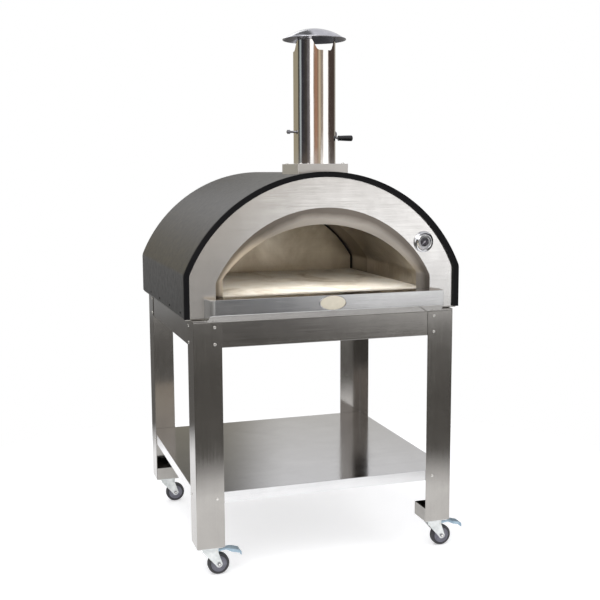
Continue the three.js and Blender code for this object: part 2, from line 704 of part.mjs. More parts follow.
function flueCollar() {
  const start = DOME_ARCH.topZ - 18;
  const bore = flueBore(COLLAR_RADIUS - FLUE_SHEET, start - 10, COLLAR_TOP + 10);
  const blank = cut(flueBore(COLLAR_RADIUS, start, COLLAR_TOP), bore);
  const domeTop = slabAlongY(archShape(inset(DOME_ARCH, -SHEET - GAP), 1000), FLUE_Y - 100, FLUE_Y + 100);
  return cut(blank, domeTop);
}

function flueBase() {
  const [hx, hy] = [FLUE_BOX_HALF_X, FLUE_BOX_HALF_Y];
  const skirt = FLUE_BOX_TOP - 66; // well below the hood's curve, which trims the box
  const blank = box(-hx, hx, FLUE_Y - hy, FLUE_Y + hy, skirt, FLUE_BOX_TOP);
  const hollow = box(
    -hx + SHEET, hx - SHEET, FLUE_Y - hy + SHEET, FLUE_Y + hy - SHEET,
    skirt - 10, FLUE_BOX_TOP - SHEET,
  );
  const hoodTop = slabAlongY(archShape(inset(HOOD_ARCH, -GAP), HOOD_BOTTOM), FLUE_Y - 200, FLUE_Y + 200);
  return cut(blank, hollow, hoodTop, flueBore(COLLAR_RADIUS + GAP, skirt, FLUE_BOX_TOP + 10));
}

function windowShape() {
  const corner = WINDOW_CORNER;
  const top = PIPE_TOP + 10;
  const shape = new THREE.Shape();
  shape.moveTo(-WINDOW_BOTTOM_HALF + corner, WINDOW_BOTTOM);
  shape.lineTo(WINDOW_BOTTOM_HALF - corner, WINDOW_BOTTOM);
  shape.quadraticCurveTo(WINDOW_BOTTOM_HALF, WINDOW_BOTTOM, WINDOW_BOTTOM_HALF + 4, WINDOW_BOTTOM + corner);
  shape.lineTo(WINDOW_TOP_HALF, WINDOW_SHOULDER);
  shape.lineTo(WINDOW_TOP_HALF, top);
  shape.lineTo(-WINDOW_TOP_HALF, top);
  shape.lineTo(-WINDOW_TOP_HALF, WINDOW_SHOULDER);
  shape.lineTo(-WINDOW_BOTTOM_HALF - 4, WINDOW_BOTTOM + corner);
  shape.quadraticCurveTo(-WINDOW_BOTTOM_HALF, WINDOW_BOTTOM, -WINDOW_BOTTOM_HALF + corner, WINDOW_BOTTOM);
  return shape;
}

function fluePipe() {
  const bottom = FLUE_BOX_TOP + GAP;
  const tube = cut(
    flueBore(FLUE_RADIUS, bottom, PIPE_TOP),
    flueBore(FLUE_RADIUS - FLUE_SHEET, bottom - 10, PIPE_TOP + 10),
  );
  const openings = WINDOW_DIRECTIONS.map((degrees) => {
    const opening = slabAlongY(windowShape(), -2 * FLUE_RADIUS, 0, 5);
    return opening.rotateZ(THREE.MathUtils.degToRad(degrees)).translate(0, FLUE_Y, 0);
  });
  const rodHoles = rodAlongX(DAMPER_ROD_RADIUS + RUNNING_GAP, -100, 100, FLUE_Y, DAMPER_Z, 16);
  return cut(tube, ...openings, rodHoles);
}

function flueCap() {
  const radius = (CAP_RADIUS * CAP_RADIUS + CAP_RISE * CAP_RISE) / (2 * CAP_RISE);
  const centreZ = CAP_RIM + CAP_RISE - radius;
  const rimAngle = Math.asin(CAP_RADIUS / radius);
  const steps = 8;
  const outside = [];
  const inside = [];
  for (let i = 0; i <= steps; i += 1) {
    const angle = rimAngle * (i / steps);
    outside.push([radius * Math.sin(angle), centreZ + radius * Math.cos(angle)]);
    const under = radius - FLUE_SHEET;
    inside.push([under * Math.sin(angle), centreZ + under * Math.cos(angle)]);
  }
  const profile = [...inside, ...outside.reverse()];
  return turnedAroundZ(profile, 40, false).translate(0, FLUE_Y, 0);
}

function damperPlate() {
  const near = FLUE_Y + DAMPER_ROD_RADIUS + GAP;
  return rodAlongY(DAMPER_PLATE_RADIUS, near, near + 2, 0, DAMPER_Z, 40);
}

// straight rod through the pipe, then a neck that drops to the grip
function damperAxle() {
  const neckStart = FLUE_RADIUS + 5;
  const rodEnd = GRIP_START + GRIP_SOCKET - 2;
  const straight = rodAlongX(DAMPER_ROD_RADIUS, DAMPER_LEFT_END, neckStart, FLUE_Y, DAMPER_Z, 16);
  const gripZ = DAMPER_Z - CRANK_DROP;
  const neckPath = new THREE.CubicBezierCurve3(
    new THREE.Vector3(neckStart - 6, FLUE_Y, DAMPER_Z),
    new THREE.Vector3(GRIP_START - 4, FLUE_Y, DAMPER_Z),
    new THREE.Vector3(neckStart - 4, FLUE_Y, gripZ),
    new THREE.Vector3(GRIP_START - 1, FLUE_Y, gripZ),
  );
  const section = new THREE.Shape();
  section.absarc(0, 0, DAMPER_ROD_RADIUS - 0.4, 0, 2 * Math.PI, false);
  const neck = new THREE.ExtrudeGeometry(section, { extrudePath: neckPath, steps: 14, curveSegments: 5 });
  const inGrip = rodAlongX(DAMPER_ROD_RADIUS, GRIP_START - 2, rodEnd, FLUE_Y, gripZ, 16);
  return join(straight, neck, inGrip);
}

function damperNut() {
  const start = DAMPER_LEFT_END + 3;
  const end = start + NUT_THICKNESS;
  const nut = rodAlongX(NUT_RADIUS, start, end, FLUE_Y, DAMPER_Z, 6);
  return cut(nut, rodAlongX(DAMPER_ROD_RADIUS + GAP, start - 10, end + 10, FLUE_Y, DAMPER_Z, 16));
}

function damperGrip() {
  const z = DAMPER_Z - CRANK_DROP;
  const end = GRIP_START + GRIP_LENGTH;
  const body = rodAlongX(GRIP_RADIUS, GRIP_START, end - 4, FLUE_Y, z, 24);
  const nose = new THREE.CylinderGeometry(GRIP_RADIUS, GRIP_RADIUS - 3, 4, 24);
  nose.rotateZ(Math.PI / 2).translate(end - 2, FLUE_Y, z);
  const socketEnd = GRIP_START + GRIP_SOCKET;
  const blindHole = rodAlongX(DAMPER_ROD_RADIUS + GAP, GRIP_START - 10, socketEnd, FLUE_Y, z, 16);
  return cut(join(body, nose), blindHole);
}

function buildFlue() {
  place('flue_collar', flueCollar(), polishedSteel);
  place('flue_base', flueBase(), brushedSteel);
  place('flue_pipe', fluePipe(), polishedSteel);
  place('flue_cap', flueCap(), polishedSteel);
  place('damper_plate', damperPlate(), brushedSteel);
  place('damper_axle', damperAxle(), zinc);
  place('damper_nut', damperNut(), zinc);
  place('damper_grip', damperGrip(), blackPlastic);
}

// ---------------------------------------------------------------- thermometer

// turned around an axis along Y through the gauge's centre: profile points are [radius, distance
// in front of the fascia]
function gaugeTurning(profile, sides) {
  const points = profile.map(([radius, forward]) => [radius, -forward]);
  return turned(points, sides).translate(GAUGE_X, FASCIA_FRONT, GAUGE_Z);
}

function buildThermometer() {
  const caseProfile = [
    [STEM_BORE, LENS_SEAT - 3.5],
    [DIAL_RADIUS + 1.5, LENS_SEAT - 3.5],
    [DIAL_RADIUS + 1.5, CASE_DEPTH - 1.5],
    [DIAL_RADIUS + 3.5, CASE_DEPTH],
    [DIAL_RADIUS + 7, CASE_DEPTH - 2],
    [DIAL_RADIUS + 9, 9],
    [GAUGE_FLANGE_RADIUS - 3, 4.5],
    [GAUGE_FLANGE_RADIUS, 1.5],
    [GAUGE_FLANGE_RADIUS, GAP],
    [GAUGE_BODY_RADIUS, GAP],
    [GAUGE_BODY_RADIUS, -STEM_DEPTH],
    [STEM_BORE, -STEM_DEPTH],
  ];
  place('thermometer_case', gaugeTurning(caseProfile, 32), polishedSteel);

  const dialFront = FASCIA_FRONT - LENS_SEAT + 2.2;
  const dial = rodAlongY(DIAL_RADIUS, dialFront, dialFront + 1, GAUGE_X, GAUGE_Z, 32);
  place('thermometer_dial', dial, dialFace);

  const needleFront = FASCIA_FRONT - LENS_SEAT + 0.7;
  const needleBack = needleFront + NEEDLE_SHEET;
  const blade = box(-1, 1, needleFront, needleBack, -NEEDLE_TAIL, NEEDLE_REACH);
  const hub = rodAlongY(3, needleFront, needleBack, 0, 0, 16);
  const coldAngle = THREE.MathUtils.degToRad(-135);
  const needle = join(blade, hub).rotateY(coldAngle).translate(GAUGE_X, 0, GAUGE_Z);
  place('thermometer_needle', needle, needlePaint);

  const lensBack = FASCIA_FRONT - LENS_SEAT - 1;
  const lens = rodAlongY(DIAL_RADIUS + 1, lensBack - 1.5, lensBack, GAUGE_X, GAUGE_Z, 32);
  place('thermometer_lens', lens, glass);

  const nutFront = FASCIA_FRONT + FASCIA_SHEET + GAP;
  const nut = rodAlongY(GAUGE_BODY_RADIUS + 8, nutFront, nutFront + 6, GAUGE_X, GAUGE_Z, 6);
  const thread = rodAlongY(GAUGE_BODY_RADIUS + GAP, nutFront - 5, nutFront + 20, GAUGE_X, GAUGE_Z, 32);
  place('thermometer_nut', cut(nut, thread), zinc);
}

// ---------------------------------------------------------------- assembly

buildStand();
buildCasters();
buildOvenBody();
buildFlue();
buildThermometer();

const bounds = new THREE.Box3().setFromObject(oven);
const centre = bounds.getCenter(new THREE.Vector3());
oven.position.set(-centre.x, -centre.y, -bounds.min.z);

export default oven;
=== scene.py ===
import math

import bmesh
import bpy
from mathutils import Matrix, Vector


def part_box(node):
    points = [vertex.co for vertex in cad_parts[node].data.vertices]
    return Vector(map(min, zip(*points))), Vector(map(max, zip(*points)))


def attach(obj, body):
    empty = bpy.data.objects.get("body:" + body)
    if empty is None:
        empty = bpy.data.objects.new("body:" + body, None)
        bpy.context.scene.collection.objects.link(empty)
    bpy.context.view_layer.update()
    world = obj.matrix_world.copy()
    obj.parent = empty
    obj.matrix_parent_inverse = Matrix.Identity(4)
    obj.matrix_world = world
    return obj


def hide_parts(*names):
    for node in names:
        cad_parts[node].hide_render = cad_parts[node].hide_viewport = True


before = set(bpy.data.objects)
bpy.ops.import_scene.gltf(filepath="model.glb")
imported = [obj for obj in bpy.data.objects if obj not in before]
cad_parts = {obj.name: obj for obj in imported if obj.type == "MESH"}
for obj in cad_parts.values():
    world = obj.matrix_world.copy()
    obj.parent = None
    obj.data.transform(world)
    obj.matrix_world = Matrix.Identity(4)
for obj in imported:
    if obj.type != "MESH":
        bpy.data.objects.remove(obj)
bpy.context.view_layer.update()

# Wood fired pizza oven on a wheeled stainless stand: the fine meshes, materials, stage, lights and camera.
# Lengths are in metres in the row frame. Places come from the CAD nodes' boxes.

MM = 0.001
X, Y, Z = Vector((1, 0, 0)), Vector((0, 1, 0)), Vector((0, 0, 1))
ORIGIN = Vector((0, 0, 0))
CORNERS = ["front_left", "front_right", "rear_left", "rear_right"]

SHEET = 2 * MM
THIN_SHEET = 1.5 * MM
FIT = 0.3 * MM


def middle_of(node):
    low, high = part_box(node)
    return (low + high) / 2


hood_low, hood_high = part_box("hood_shell")
fascia_low, fascia_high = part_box("front_fascia")
throat_low, throat_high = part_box("mouth_throat")
dome_low, dome_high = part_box("inner_dome")
wall_low, wall_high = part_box("inner_back_wall")
collar_low, collar_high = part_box("flue_collar")
hearth_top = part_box("hearth_tile_front_left")[1].z
ledge_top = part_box("mouth_ledge")[1].z
table_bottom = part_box("table_top")[0].z
CENTRE_X = (hood_low.x + hood_high.x) / 2
COLLAR_RADIUS = (collar_high.x - collar_low.x) / 2

# ---- materials


def coloured(tone):
    """A colour as it is, or the grey that one number stands for."""
    return tone if isinstance(tone, tuple) else (tone, tone, tone)


class Nodes:
    """Short ways to fill a shader tree."""

    def __init__(self, tree):
        self.tree = tree
        tree.nodes.clear()

    def feed(self, socket, value):
        if isinstance(value, bpy.types.NodeSocket):
            self.tree.links.new(value, socket)
        else:
            socket.default_value = value

    def add(self, kind, **inputs):
        node = self.tree.nodes.new(kind)
        for label, value in inputs.items():
            self.feed(node.inputs[label.replace("_", " ")], value)
        return node

    def maths(self, operation, first, second):
        node = self.tree.nodes.new("ShaderNodeMath")
        node.operation = operation
        self.feed(node.inputs[0], first)
        self.feed(node.inputs[1], second)
        return node.outputs[0]

    def mixed(self, fac, first, second, blend="MIX"):
        node = self.tree.nodes.new("ShaderNodeMix")
        node.data_type = "RGBA"
        node.blend_type = blend
        for label, value in {"Factor": fac, "A": first, "B": second}.items():
            self.feed(node.inputs[label], value)
        return node.outputs["Result"]

    def ramp(self, fac, stops):
        node = self.add("ShaderNodeValToRGB", Fac=fac)
        colours = node.color_ramp.elements
        while len(colours) < len(stops):
            colours.new(0.5)
        for element, (position, colour) in zip(colours, stops):
            element.position = position
            element.color = (*coloured(colour), 1)
        return node.outputs[0]


class Graph(Nodes):
    """A new material with a principled shader, textured in the object's own coordinates."""

    def __init__(self, name, **values):
        self.material = bpy.data.materials.new(name)
        self.material.use_nodes = True
        super().__init__(self.material.node_tree)
        self.shader = self.add("ShaderNodeBsdfPrincipled")
        self.add("ShaderNodeOutputMaterial", Surface=self.shader.outputs[0])
        self.place = self.add("ShaderNodeTexCoord").outputs["Object"]
        self.set(**values)

    def set(self, **inputs):
        for label, value in inputs.items():
            self.feed(self.shader.inputs[label.replace("_", " ")], value)

    def scaled(self, *cells):
        """Coordinates with so many cells per metre: one number for all axes, or three."""
        scale = cells * 3 if len(cells) == 1 else cells
        return self.add("ShaderNodeMapping", Vector=self.place, Scale=scale).outputs[0]

    def noise(self, *cells, detail=3.0, rough=0.5, warp=0.0):
        values = {"Scale": 1.0, "Detail": detail, "Roughness": rough, "Distortion": warp}
        return self.add("ShaderNodeTexNoise", Vector=self.scaled(*cells), **values).outputs["Fac"]

    def spots(self, cells):
        return self.add("ShaderNodeTexVoronoi", Vector=self.scaled(cells), Scale=1.0)

    def between(self, fac, low, high, start=0.3, end=0.7):
        """A number that goes from low to high while fac goes from start to end."""
        span = {"From_Min": start, "From_Max": end, "To_Min": low, "To_Max": high}
        return self.add("ShaderNodeMapRange", Value=fac, **span).outputs[0]

    def tone(self, fac, dark, light, start=0.3, end=0.7):
        self.set(Base_Color=self.ramp(fac, [(start, dark), (end, light)]))

    def bump(self, height, distance, strength=1.0, below=None):
        node = self.add("ShaderNodeBump", Height=height, Distance=distance, Strength=strength)
        if below is not None:
            self.feed(node.inputs["Normal"], below)
        self.set(Normal=node.outputs[0])
        return node.outputs[0]


def steel(name, grain, light, dark, rough, anisotropy=0.45):
    """Stainless sheet brushed along grain ("x", "y" or "z"), with cloudy tone and hairline scratches."""
    g = Graph(name, Metallic=1.0, Anisotropic=anisotropy)
    if grain != "z":
        g.set(Anisotropic_Rotation=0.25)
    hair = g.noise(*[7.0 if axis == grain else 1600.0 for axis in "xyz"], detail=2.0)
    band = g.noise(*[1.2 if axis == grain else 150.0 for axis in "xyz"])
    cloud = g.noise(6, detail=5.0, rough=0.6, warp=0.4)
    handled = g.noise(27, detail=6.0, rough=0.7)
    tone = g.ramp(cloud, [(0.28, dark), (0.72, light)])
    shade = g.ramp(band, [(0.3, 0.96), (0.7, 1.0)])
    g.set(Base_Color=g.mixed(1.0, tone, shade, "MULTIPLY"))
    prints = g.between(handled, rough - 0.01, rough + 0.02)
    g.set(Roughness=g.maths("ADD", prints, g.between(hair, -0.05, 0.05)))
    g.bump(hair, 0.00004, 0.12)
    return g.material


def throat_steel(name, light, dark, rough):
    """Brushed sheet, darker and browner by the fascia and lighter towards the chamber."""
    g = Graph(name, Metallic=1.0, Anisotropic=0.4, Anisotropic_Rotation=0.25)
    depth = g.add("ShaderNodeSeparateXYZ", Vector=g.place).outputs["Y"]
    cloud = g.noise(6, 14, 6, detail=5.0, rough=0.6, warp=0.4)
    hair = g.noise(1200, 7, 1200, detail=2.0)
    inward = g.between(depth, 0.0, 1.0, fascia_high.y + 0.006, throat_high.y - 0.008)
    g.tone(g.maths("ADD", inward, g.between(cloud, -0.18, 0.18)), dark, light, 0.2, 0.8)
    worn = g.between(cloud, rough - 0.04, rough + 0.05)
    g.set(Roughness=g.maths("ADD", worn, g.between(hair, -0.05, 0.05)))
    g.bump(hair, 0.00004, 0.2)
    return g.material


def polished(name, light, dark, rough, wave=0.0012):
    """Mirror-bright stainless sheet with a slow waviness from rolling and a little handling haze."""
    g = Graph(name, Metallic=1.0)
    g.tone(g.noise(9, 9, 3, detail=4.0, rough=0.6), dark, light)
    g.set(Roughness=g.between(g.noise(60, 60, 24, detail=6.0, rough=0.7), rough, rough + 0.07))
    slow = g.bump(g.noise(7, 7, 4.5, detail=1.5, warp=0.3), wave)
    g.bump(g.noise(700, 700, 60, detail=2.0), 0.00002, 0.3, below=slow)
    return g.material


def powder_coat(name, colour, rough, sheen):
    """Fine-textured powder coat: small round pimples, slightly chalky in places."""
    g = Graph(name, IOR=1.5, Specular_IOR_Level=sheen)
    pale = tuple(c * 1.22 + 0.004 for c in colour)
    g.tone(g.noise(3.2, 2.2, 3.2, detail=5.0, rough=0.55), colour, pale, 0.3, 0.75)
    g.set(Roughness=g.between(g.noise(45, detail=4.0), rough - 0.05, rough + 0.07))
    g.bump(g.noise(900, detail=2.0, rough=0.55), 0.0002, 0.3)
    return g.material


def hearth_brick(name):
    """Pressed cream firebrick: sandy speckle, soft tan clouds, small pits and a rubbed surface."""
    g = Graph(name, Roughness=0.9)
    cloud = g.noise(6.5, 4.5, 6.5, detail=6.0, rough=0.62, warp=0.9)
    speck = g.noise(800, detail=2.0, rough=0.7)
    base = g.ramp(cloud, [(0.3, (0.50, 0.42, 0.31)), (0.48, (0.80, 0.74, 0.63)), (0.7, (0.89, 0.86, 0.79))])
    sand = g.ramp(speck, [(0.25, (0.78, 0.74, 0.68)), (0.5, 1.0)])
    g.set(Base_Color=g.mixed(1.0, base, sand, "MULTIPLY"))
    deep = g.between(g.spots(240).outputs["Distance"], 0.0, 1.0, 0.05, 0.3)
    pits = g.bump(deep, 0.0005, 0.5)
    g.bump(speck, 0.0003, 0.5, below=pits)
    return g.material


def fibre(name):
    """White ceramic fibre blanket."""
    g = Graph(name, Roughness=0.98)
    strand = g.noise(160, 900, 160, detail=6.0, rough=0.8, warp=1.5)
    g.tone(strand, (0.70, 0.67, 0.59), (0.88, 0.86, 0.80))
    g.bump(strand, 0.0012, 0.8)
    return g.material


def plated(name, light, dark, rough):
    """Zinc plate: small spangled patches, matt in the hollows."""
    g = Graph(name, Metallic=1.0)
    spangle = g.add("ShaderNodeSeparateColor", Color=g.spots(260).outputs["Color"]).outputs[0]
    cloud = g.noise(40, detail=5.0, rough=0.6)
    g.tone(cloud, dark, light)
    patch = g.between(spangle, -0.05, 0.06, 0.0, 1.0)
    g.set(Roughness=g.maths("ADD", g.between(cloud, rough + 0.06, rough - 0.03), patch))
    g.bump(g.noise(420), 0.00008, 0.4)
    return g.material


def rubber(name, colour, rough):
    """Moulded rubber with a dusty bloom and a fine matt grain."""
    g = Graph(name, IOR=1.45)
    dust = g.noise(55, detail=6.0, rough=0.7)
    g.tone(dust, colour, tuple(c * 1.5 + 0.012 for c in colour), 0.35, 0.8)
    g.set(Roughness=g.between(dust, rough - 0.1, rough + 0.1))
    g.bump(g.noise(1500, detail=2.0), 0.0001, 0.5)
    return g.material


def gloss(name, colour, rough, coat=0.5):
    """Glossy moulded plastic, paint or enamel with a faint orange-peel surface."""
    g = Graph(name, Coat_Weight=coat, Coat_Roughness=0.05, IOR=1.5)
    g.tone(g.noise(70, detail=4.0), colour, tuple(min(1.0, c * 1.06 + 0.003) for c in colour))
    g.set(Roughness=g.between(g.noise(300), rough - 0.04, rough + 0.05))
    g.bump(g.noise(350, detail=2.0), 0.00002, 0.6)
    return g.material


def clear_glass(name):
    g = Graph(name, IOR=1.22, Transmission_Weight=1.0)
    g.tone(g.noise(90), (0.97, 0.99, 1.0), 1.0)
    g.set(Roughness=g.between(g.noise(220, detail=5.0), 0.0, 0.03))
    return g.material


# light and dark tone of each sheet, as its clouds show them
STAND = ((0.44, 0.425, 0.40), (0.36, 0.345, 0.325))
LEDGE = ((0.66, 0.66, 0.655), (0.55, 0.55, 0.545))
FASCIA = ((0.80, 0.79, 0.775), (0.70, 0.69, 0.675))
THROAT = ((0.48, 0.44, 0.39), (0.20, 0.175, 0.15))
FLUE_BOX = ((0.80, 0.79, 0.77), (0.72, 0.71, 0.69))
SHELF = ((0.76, 0.76, 0.76), (0.69, 0.69, 0.69))
CHAMBER = ((0.64, 0.59, 0.52), (0.46, 0.41, 0.34))
CHAMBER_BACK = ((0.44, 0.395, 0.33), (0.30, 0.26, 0.205))
CHAMBER_WALL = ((0.86, 0.82, 0.73), (0.46, 0.41, 0.33))

MATERIAL = {
    "legs": steel("steel_brushed_upright", "z", *STAND, 0.13),
    "across": steel("steel_brushed_across", "x", *STAND, 0.12, anisotropy=0.2),
    "depth": steel("steel_brushed_depth", "y", *STAND, 0.15),
    "fascia": steel("steel_brushed_fascia", "x", *FASCIA, 0.20, anisotropy=0.3),
    "ledge": steel("steel_brushed_ledge", "x", *LEDGE, 0.11, anisotropy=0.2),
    "throat": throat_steel("steel_brushed_throat", *THROAT, 0.36),
    "flue_box": steel("steel_brushed_flue_box", "x", *FLUE_BOX, 0.32),
    "shelf": steel("steel_polished_shelf", "x", *SHELF, 0.12, anisotropy=0.3),
    "chamber": steel("steel_chamber_sheet", "z", *CHAMBER, 0.30, anisotropy=0.3),
    # the dome's back sheet, in a darker tone than its front sheet
    "chamber_back": steel("steel_chamber_sheet_back", "z", *CHAMBER_BACK, 0.36, anisotropy=0.3),
    "chamber_wall": steel("steel_chamber_wall", "x", *CHAMBER_WALL, 0.34, anisotropy=0.2),
    "pipe": polished("steel_polished_pipe", (0.86, 0.84, 0.82), (0.76, 0.74, 0.72), 0.06, wave=0.0016),
    "cap": polished("steel_polished_cap", (0.74, 0.74, 0.78), (0.36, 0.36, 0.39), 0.14),
    "chrome": polished("chrome_plate", (0.68, 0.68, 0.69), (0.54, 0.54, 0.55), 0.05, wave=0.0002),
    "hood": powder_coat("hood_powder_coat", (0.012, 0.012, 0.013), 0.36, sheen=0.9),
    "rim": powder_coat("hood_rim_coat", (0.005, 0.005, 0.006), 0.45, sheen=0.12),
    "brick": hearth_brick("firebrick_cream"),
    "fibre": fibre("ceramic_fibre_blanket"),
    "zinc": plated("zinc_plate_bright", (0.78, 0.80, 0.79), (0.54, 0.57, 0.57), 0.34),
    "dull_zinc": plated("zinc_plate_dull", (0.34, 0.34, 0.36), (0.24, 0.24, 0.26), 0.34),
    "blue_zinc": plated("zinc_plate_blue", (0.40, 0.52, 0.60), (0.25, 0.34, 0.42), 0.33),
    "screw": plated("screw_steel", (0.80, 0.79, 0.76), (0.66, 0.65, 0.62), 0.24),
    "tyre": rubber("wheel_rubber_tyre", (0.030, 0.030, 0.033), 0.62),
    "wheel": rubber("wheel_rubber_core", (0.15, 0.15, 0.18), 0.50),
    # black for the tube that paints the shadow in the gap between the back wall and the dome
    "sealant": rubber("painted_gap_shadow_black", (0.012, 0.010, 0.009), 0.75),
    "grip": gloss("grip_black_plastic", (0.004, 0.004, 0.005), 0.14, coat=0.3),
    "badge": gloss("badge_cream_enamel", (0.72, 0.67, 0.55), 0.22),
    "dial": gloss("dial_white_enamel", (0.60, 0.60, 0.61), 0.45, coat=0.0),
    "dial_dark": gloss("dial_dark_ink", (0.022, 0.016, 0.026), 0.45, coat=0.0),
    "needle": gloss("needle_pale_paint", (0.62, 0.58, 0.64), 0.40, coat=0.0),
    "glass": clear_glass("dial_clear_glass"),
}

# ---- mesh tools


def linked(name, data):
    obj = bpy.data.objects.new(name, data)
    bpy.context.scene.collection.objects.link(obj)
    return obj


def piece(name, bm, material, body="oven", stands_for=(), sharp=None):
    """Turns a bmesh into a smooth-shaded object that rides on a CAD body, if one is named."""
    bmesh.ops.recalc_face_normals(bm, faces=bm.faces)
    mesh = bpy.data.meshes.new(name)
    bm.to_mesh(mesh)
    bm.free()
    obj = linked(name, mesh)
    for each in material if isinstance(material, list) else [material]:
        mesh.materials.append(MATERIAL[each])
    mesh.polygons.foreach_set("use_smooth", [True] * len(mesh.polygons))
    if sharp is not None:
        mesh.set_sharp_from_angle(angle=math.radians(sharp))
    if body:
        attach(obj, body)
    if stands_for:
        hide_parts(*stands_for)
    return obj


def fine(node, bm, material, body="oven", sharp=None):
    """The finer piece that stands for one CAD node."""
    return piece(f"{node}_fine", bm, material, body, [node], sharp)


def tool(bm, material):
    """A passing object to cut or join with; its material goes on the faces it leaves."""
    return piece("tool", bm, material, body=None)


def mesh_only(obj):
    mesh = obj.data.copy()
    bpy.data.objects.remove(obj)
    return mesh


def bevelled(obj, width, segments, limit):
    bevel = obj.modifiers.new("rounded_edges", "BEVEL")
    bevel.width = width
    bevel.segments = segments
    bevel.limit_method = limit
    return bevel


def rounded(obj, width, segments=2, angle=32):
    bevel = bevelled(obj, width, segments, "ANGLE")
    bevel.angle_limit = math.radians(angle)
    bevel.harden_normals = True


def combined(obj, operation, *tools):
    """Cuts ("DIFFERENCE"), joins ("UNION") or trims ("INTERSECT") obj with tools, and removes them."""
    for each in tools:
        step = obj.modifiers.new("boolean", "BOOLEAN")
        step.operation = operation
        step.solver = "EXACT"
        step.object = each
    graph = bpy.context.evaluated_depsgraph_get()
    mesh = bpy.data.meshes.new_from_object(obj.evaluated_get(graph))
    obj.modifiers.clear()
    obj.data = mesh
    for each in tools:
        bpy.data.objects.remove(each)
    mesh.polygons.foreach_set("use_smooth", [True] * len(mesh.polygons))


def tidied(obj):
    """Joins coplanar faces that a boolean left split."""
    bm = bmesh.new()
    bm.from_mesh(obj.data)
    bmesh.ops.remove_doubles(bm, verts=bm.verts, dist=1e-6)
    bmesh.ops.dissolve_limit(bm, angle_limit=math.radians(0.2), verts=bm.verts, edges=bm.edges)
    bm.to_mesh(obj.data)
    bm.free()
    return obj


def bridge(bm, near, far):
    """Faces between two rows of as many vertices."""
    for a, b, c, d in zip(near, near[1:], far[1:], far):
        bm.faces.new((a, b, c, d))


def bridge_rings(bm, near, far):
    bridge(bm, near + near[:1], far + far[:1])


def circle(side, across, radius, steps):
    """The spokes of a circle, the first of them along side."""
    turns = [2 * math.pi * k / steps for k in range(steps)]
    return [(side * math.cos(a) + across * math.sin(a)) * radius for a in turns]


def loops_to_solid(loops):
    """Joins rows of points into a skin, row to row and back to the first, with its two ends capped."""
    bm = bmesh.new()
    rows = [[bm.verts.new(point) for point in loop] for loop in loops]
    for near, far in zip(rows, rows[1:] + rows[:1]):
        bridge(bm, near, far)
    bm.faces.new([row[0] for row in rows])
    bm.faces.new([row[-1] for row in reversed(rows)])
    return bm


def prism(outline, lift, bm=None):
    """Closed solid between an outline of points and the same outline moved by lift."""
    bm = bmesh.new() if bm is None else bm
    low = [bm.verts.new(point) for point in outline]
    high = [bm.verts.new(point + lift) for point in outline]
    bridge_rings(bm, low, high)
    bm.faces.new(low[::-1])
    bm.faces.new(high)
    return bm


def block(low, high):
    (x0, y0, z0), (x1, y1, z1) = low, high
    base = [Vector((x, y, z0)) for x, y in ((x0, y0), (x1, y0), (x1, y1), (x0, y1))]
    return prism(base, Z * (z1 - z0))


def turned(profile, centre, axis, steps=64, materials=None, bm=None):
    """Turns a closed profile of (radius, height) round the axis through centre.

    materials names a material index for each side of the profile."""
    bm = bmesh.new() if bm is None else bm
    side = X if abs(axis.x) < 0.5 else Y
    across = axis.cross(side).normalized()
    side = across.cross(axis)
    rings = []
    for radius, height in profile:
        spokes = circle(side, across, radius, steps) if radius > 0 else [ORIGIN]
        rings.append([bm.verts.new(centre + axis * height + spoke) for spoke in spokes])
    for row, near in enumerate(rings):
        far = rings[(row + 1) % len(rings)]
        if len(near) == 1 and len(far) == 1:
            continue
        for k in range(steps):
            corners = [near[k % len(near)], near[(k + 1) % steps % len(near)]]
            corners += [far[(k + 1) % steps % len(far)], far[k % len(far)]]
            face = bm.faces.new(list(dict.fromkeys(corners)))
            if materials:
                face.material_index = materials[row]
    return bm


def rod(radius, low, high, centre, axis, steps, bore=0.0):
    """Round bar, or tube where it has a bore, from low to high along the axis through centre."""
    return turned([(bore, low), (radius, low), (radius, high), (bore, high)], centre, axis, steps)


def arc(centre_r, centre_h, radius, start, end, steps=6):
    """Points of a rounded corner in a turning profile, angles in degrees from the radius axis."""
    angles = [math.radians(start + (end - start) * k / steps) for k in range(steps + 1)]
    return [(centre_r + radius * math.cos(a), centre_h + radius * math.sin(a)) for a in angles]


def tube(path, radius, sides=20, bm=None):
    """Round rod along a path of points."""
    bm = bmesh.new() if bm is None else bm
    before, after = path[:1] + path[:-1], path[1:] + path[-1:]
    tangents = [(b - a).normalized() for a, b in zip(before, after)]
    side = tangents[0].orthogonal().normalized()
    rings = []
    for point, tangent in zip(path, tangents):
        side = (side - tangent * side.dot(tangent)).normalized()
        spokes = circle(side, tangent.cross(side), radius, sides)
        rings.append([bm.verts.new(point + spoke) for spoke in spokes])
    for near, far in zip(rings, rings[1:]):
        bridge_rings(bm, near, far)
    bm.faces.new(rings[0][::-1])
    bm.faces.new(rings[-1])
    return bm


def refined(node, material, fold=2.2 * MM):
    """A CAD sheet part with its flat faces merged, folds rounded to a bend radius and cut edges eased.

    Weighted normals keep the shading of its large faces flat beside the rounded edges."""
    bm = bmesh.new()
    bm.from_mesh(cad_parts[node].data)
    bmesh.ops.remove_doubles(bm, verts=bm.verts, dist=1e-5)
    bmesh.ops.dissolve_limit(bm, angle_limit=math.radians(0.5), verts=bm.verts, edges=bm.edges)
    weight = bm.edges.layers.float.new("bevel_weight_edge")
    for edge in bm.edges:
        if len(edge.link_faces) == 2 and edge.calc_face_angle() > math.radians(25):
            spans = [face.calc_area() / edge.calc_length() for face in edge.link_faces]
            edge[weight] = min(1.0, 0.3 * min(spans) / fold)
    obj = fine(node, bm, material, sharp=35)
    bevelled(obj, fold, 3, "WEIGHT")
    flat = obj.modifiers.new("flat_faces", "WEIGHTED_NORMAL")
    flat.mode = "FACE_AREA"
    flat.weight = 90
    flat.keep_sharp = True


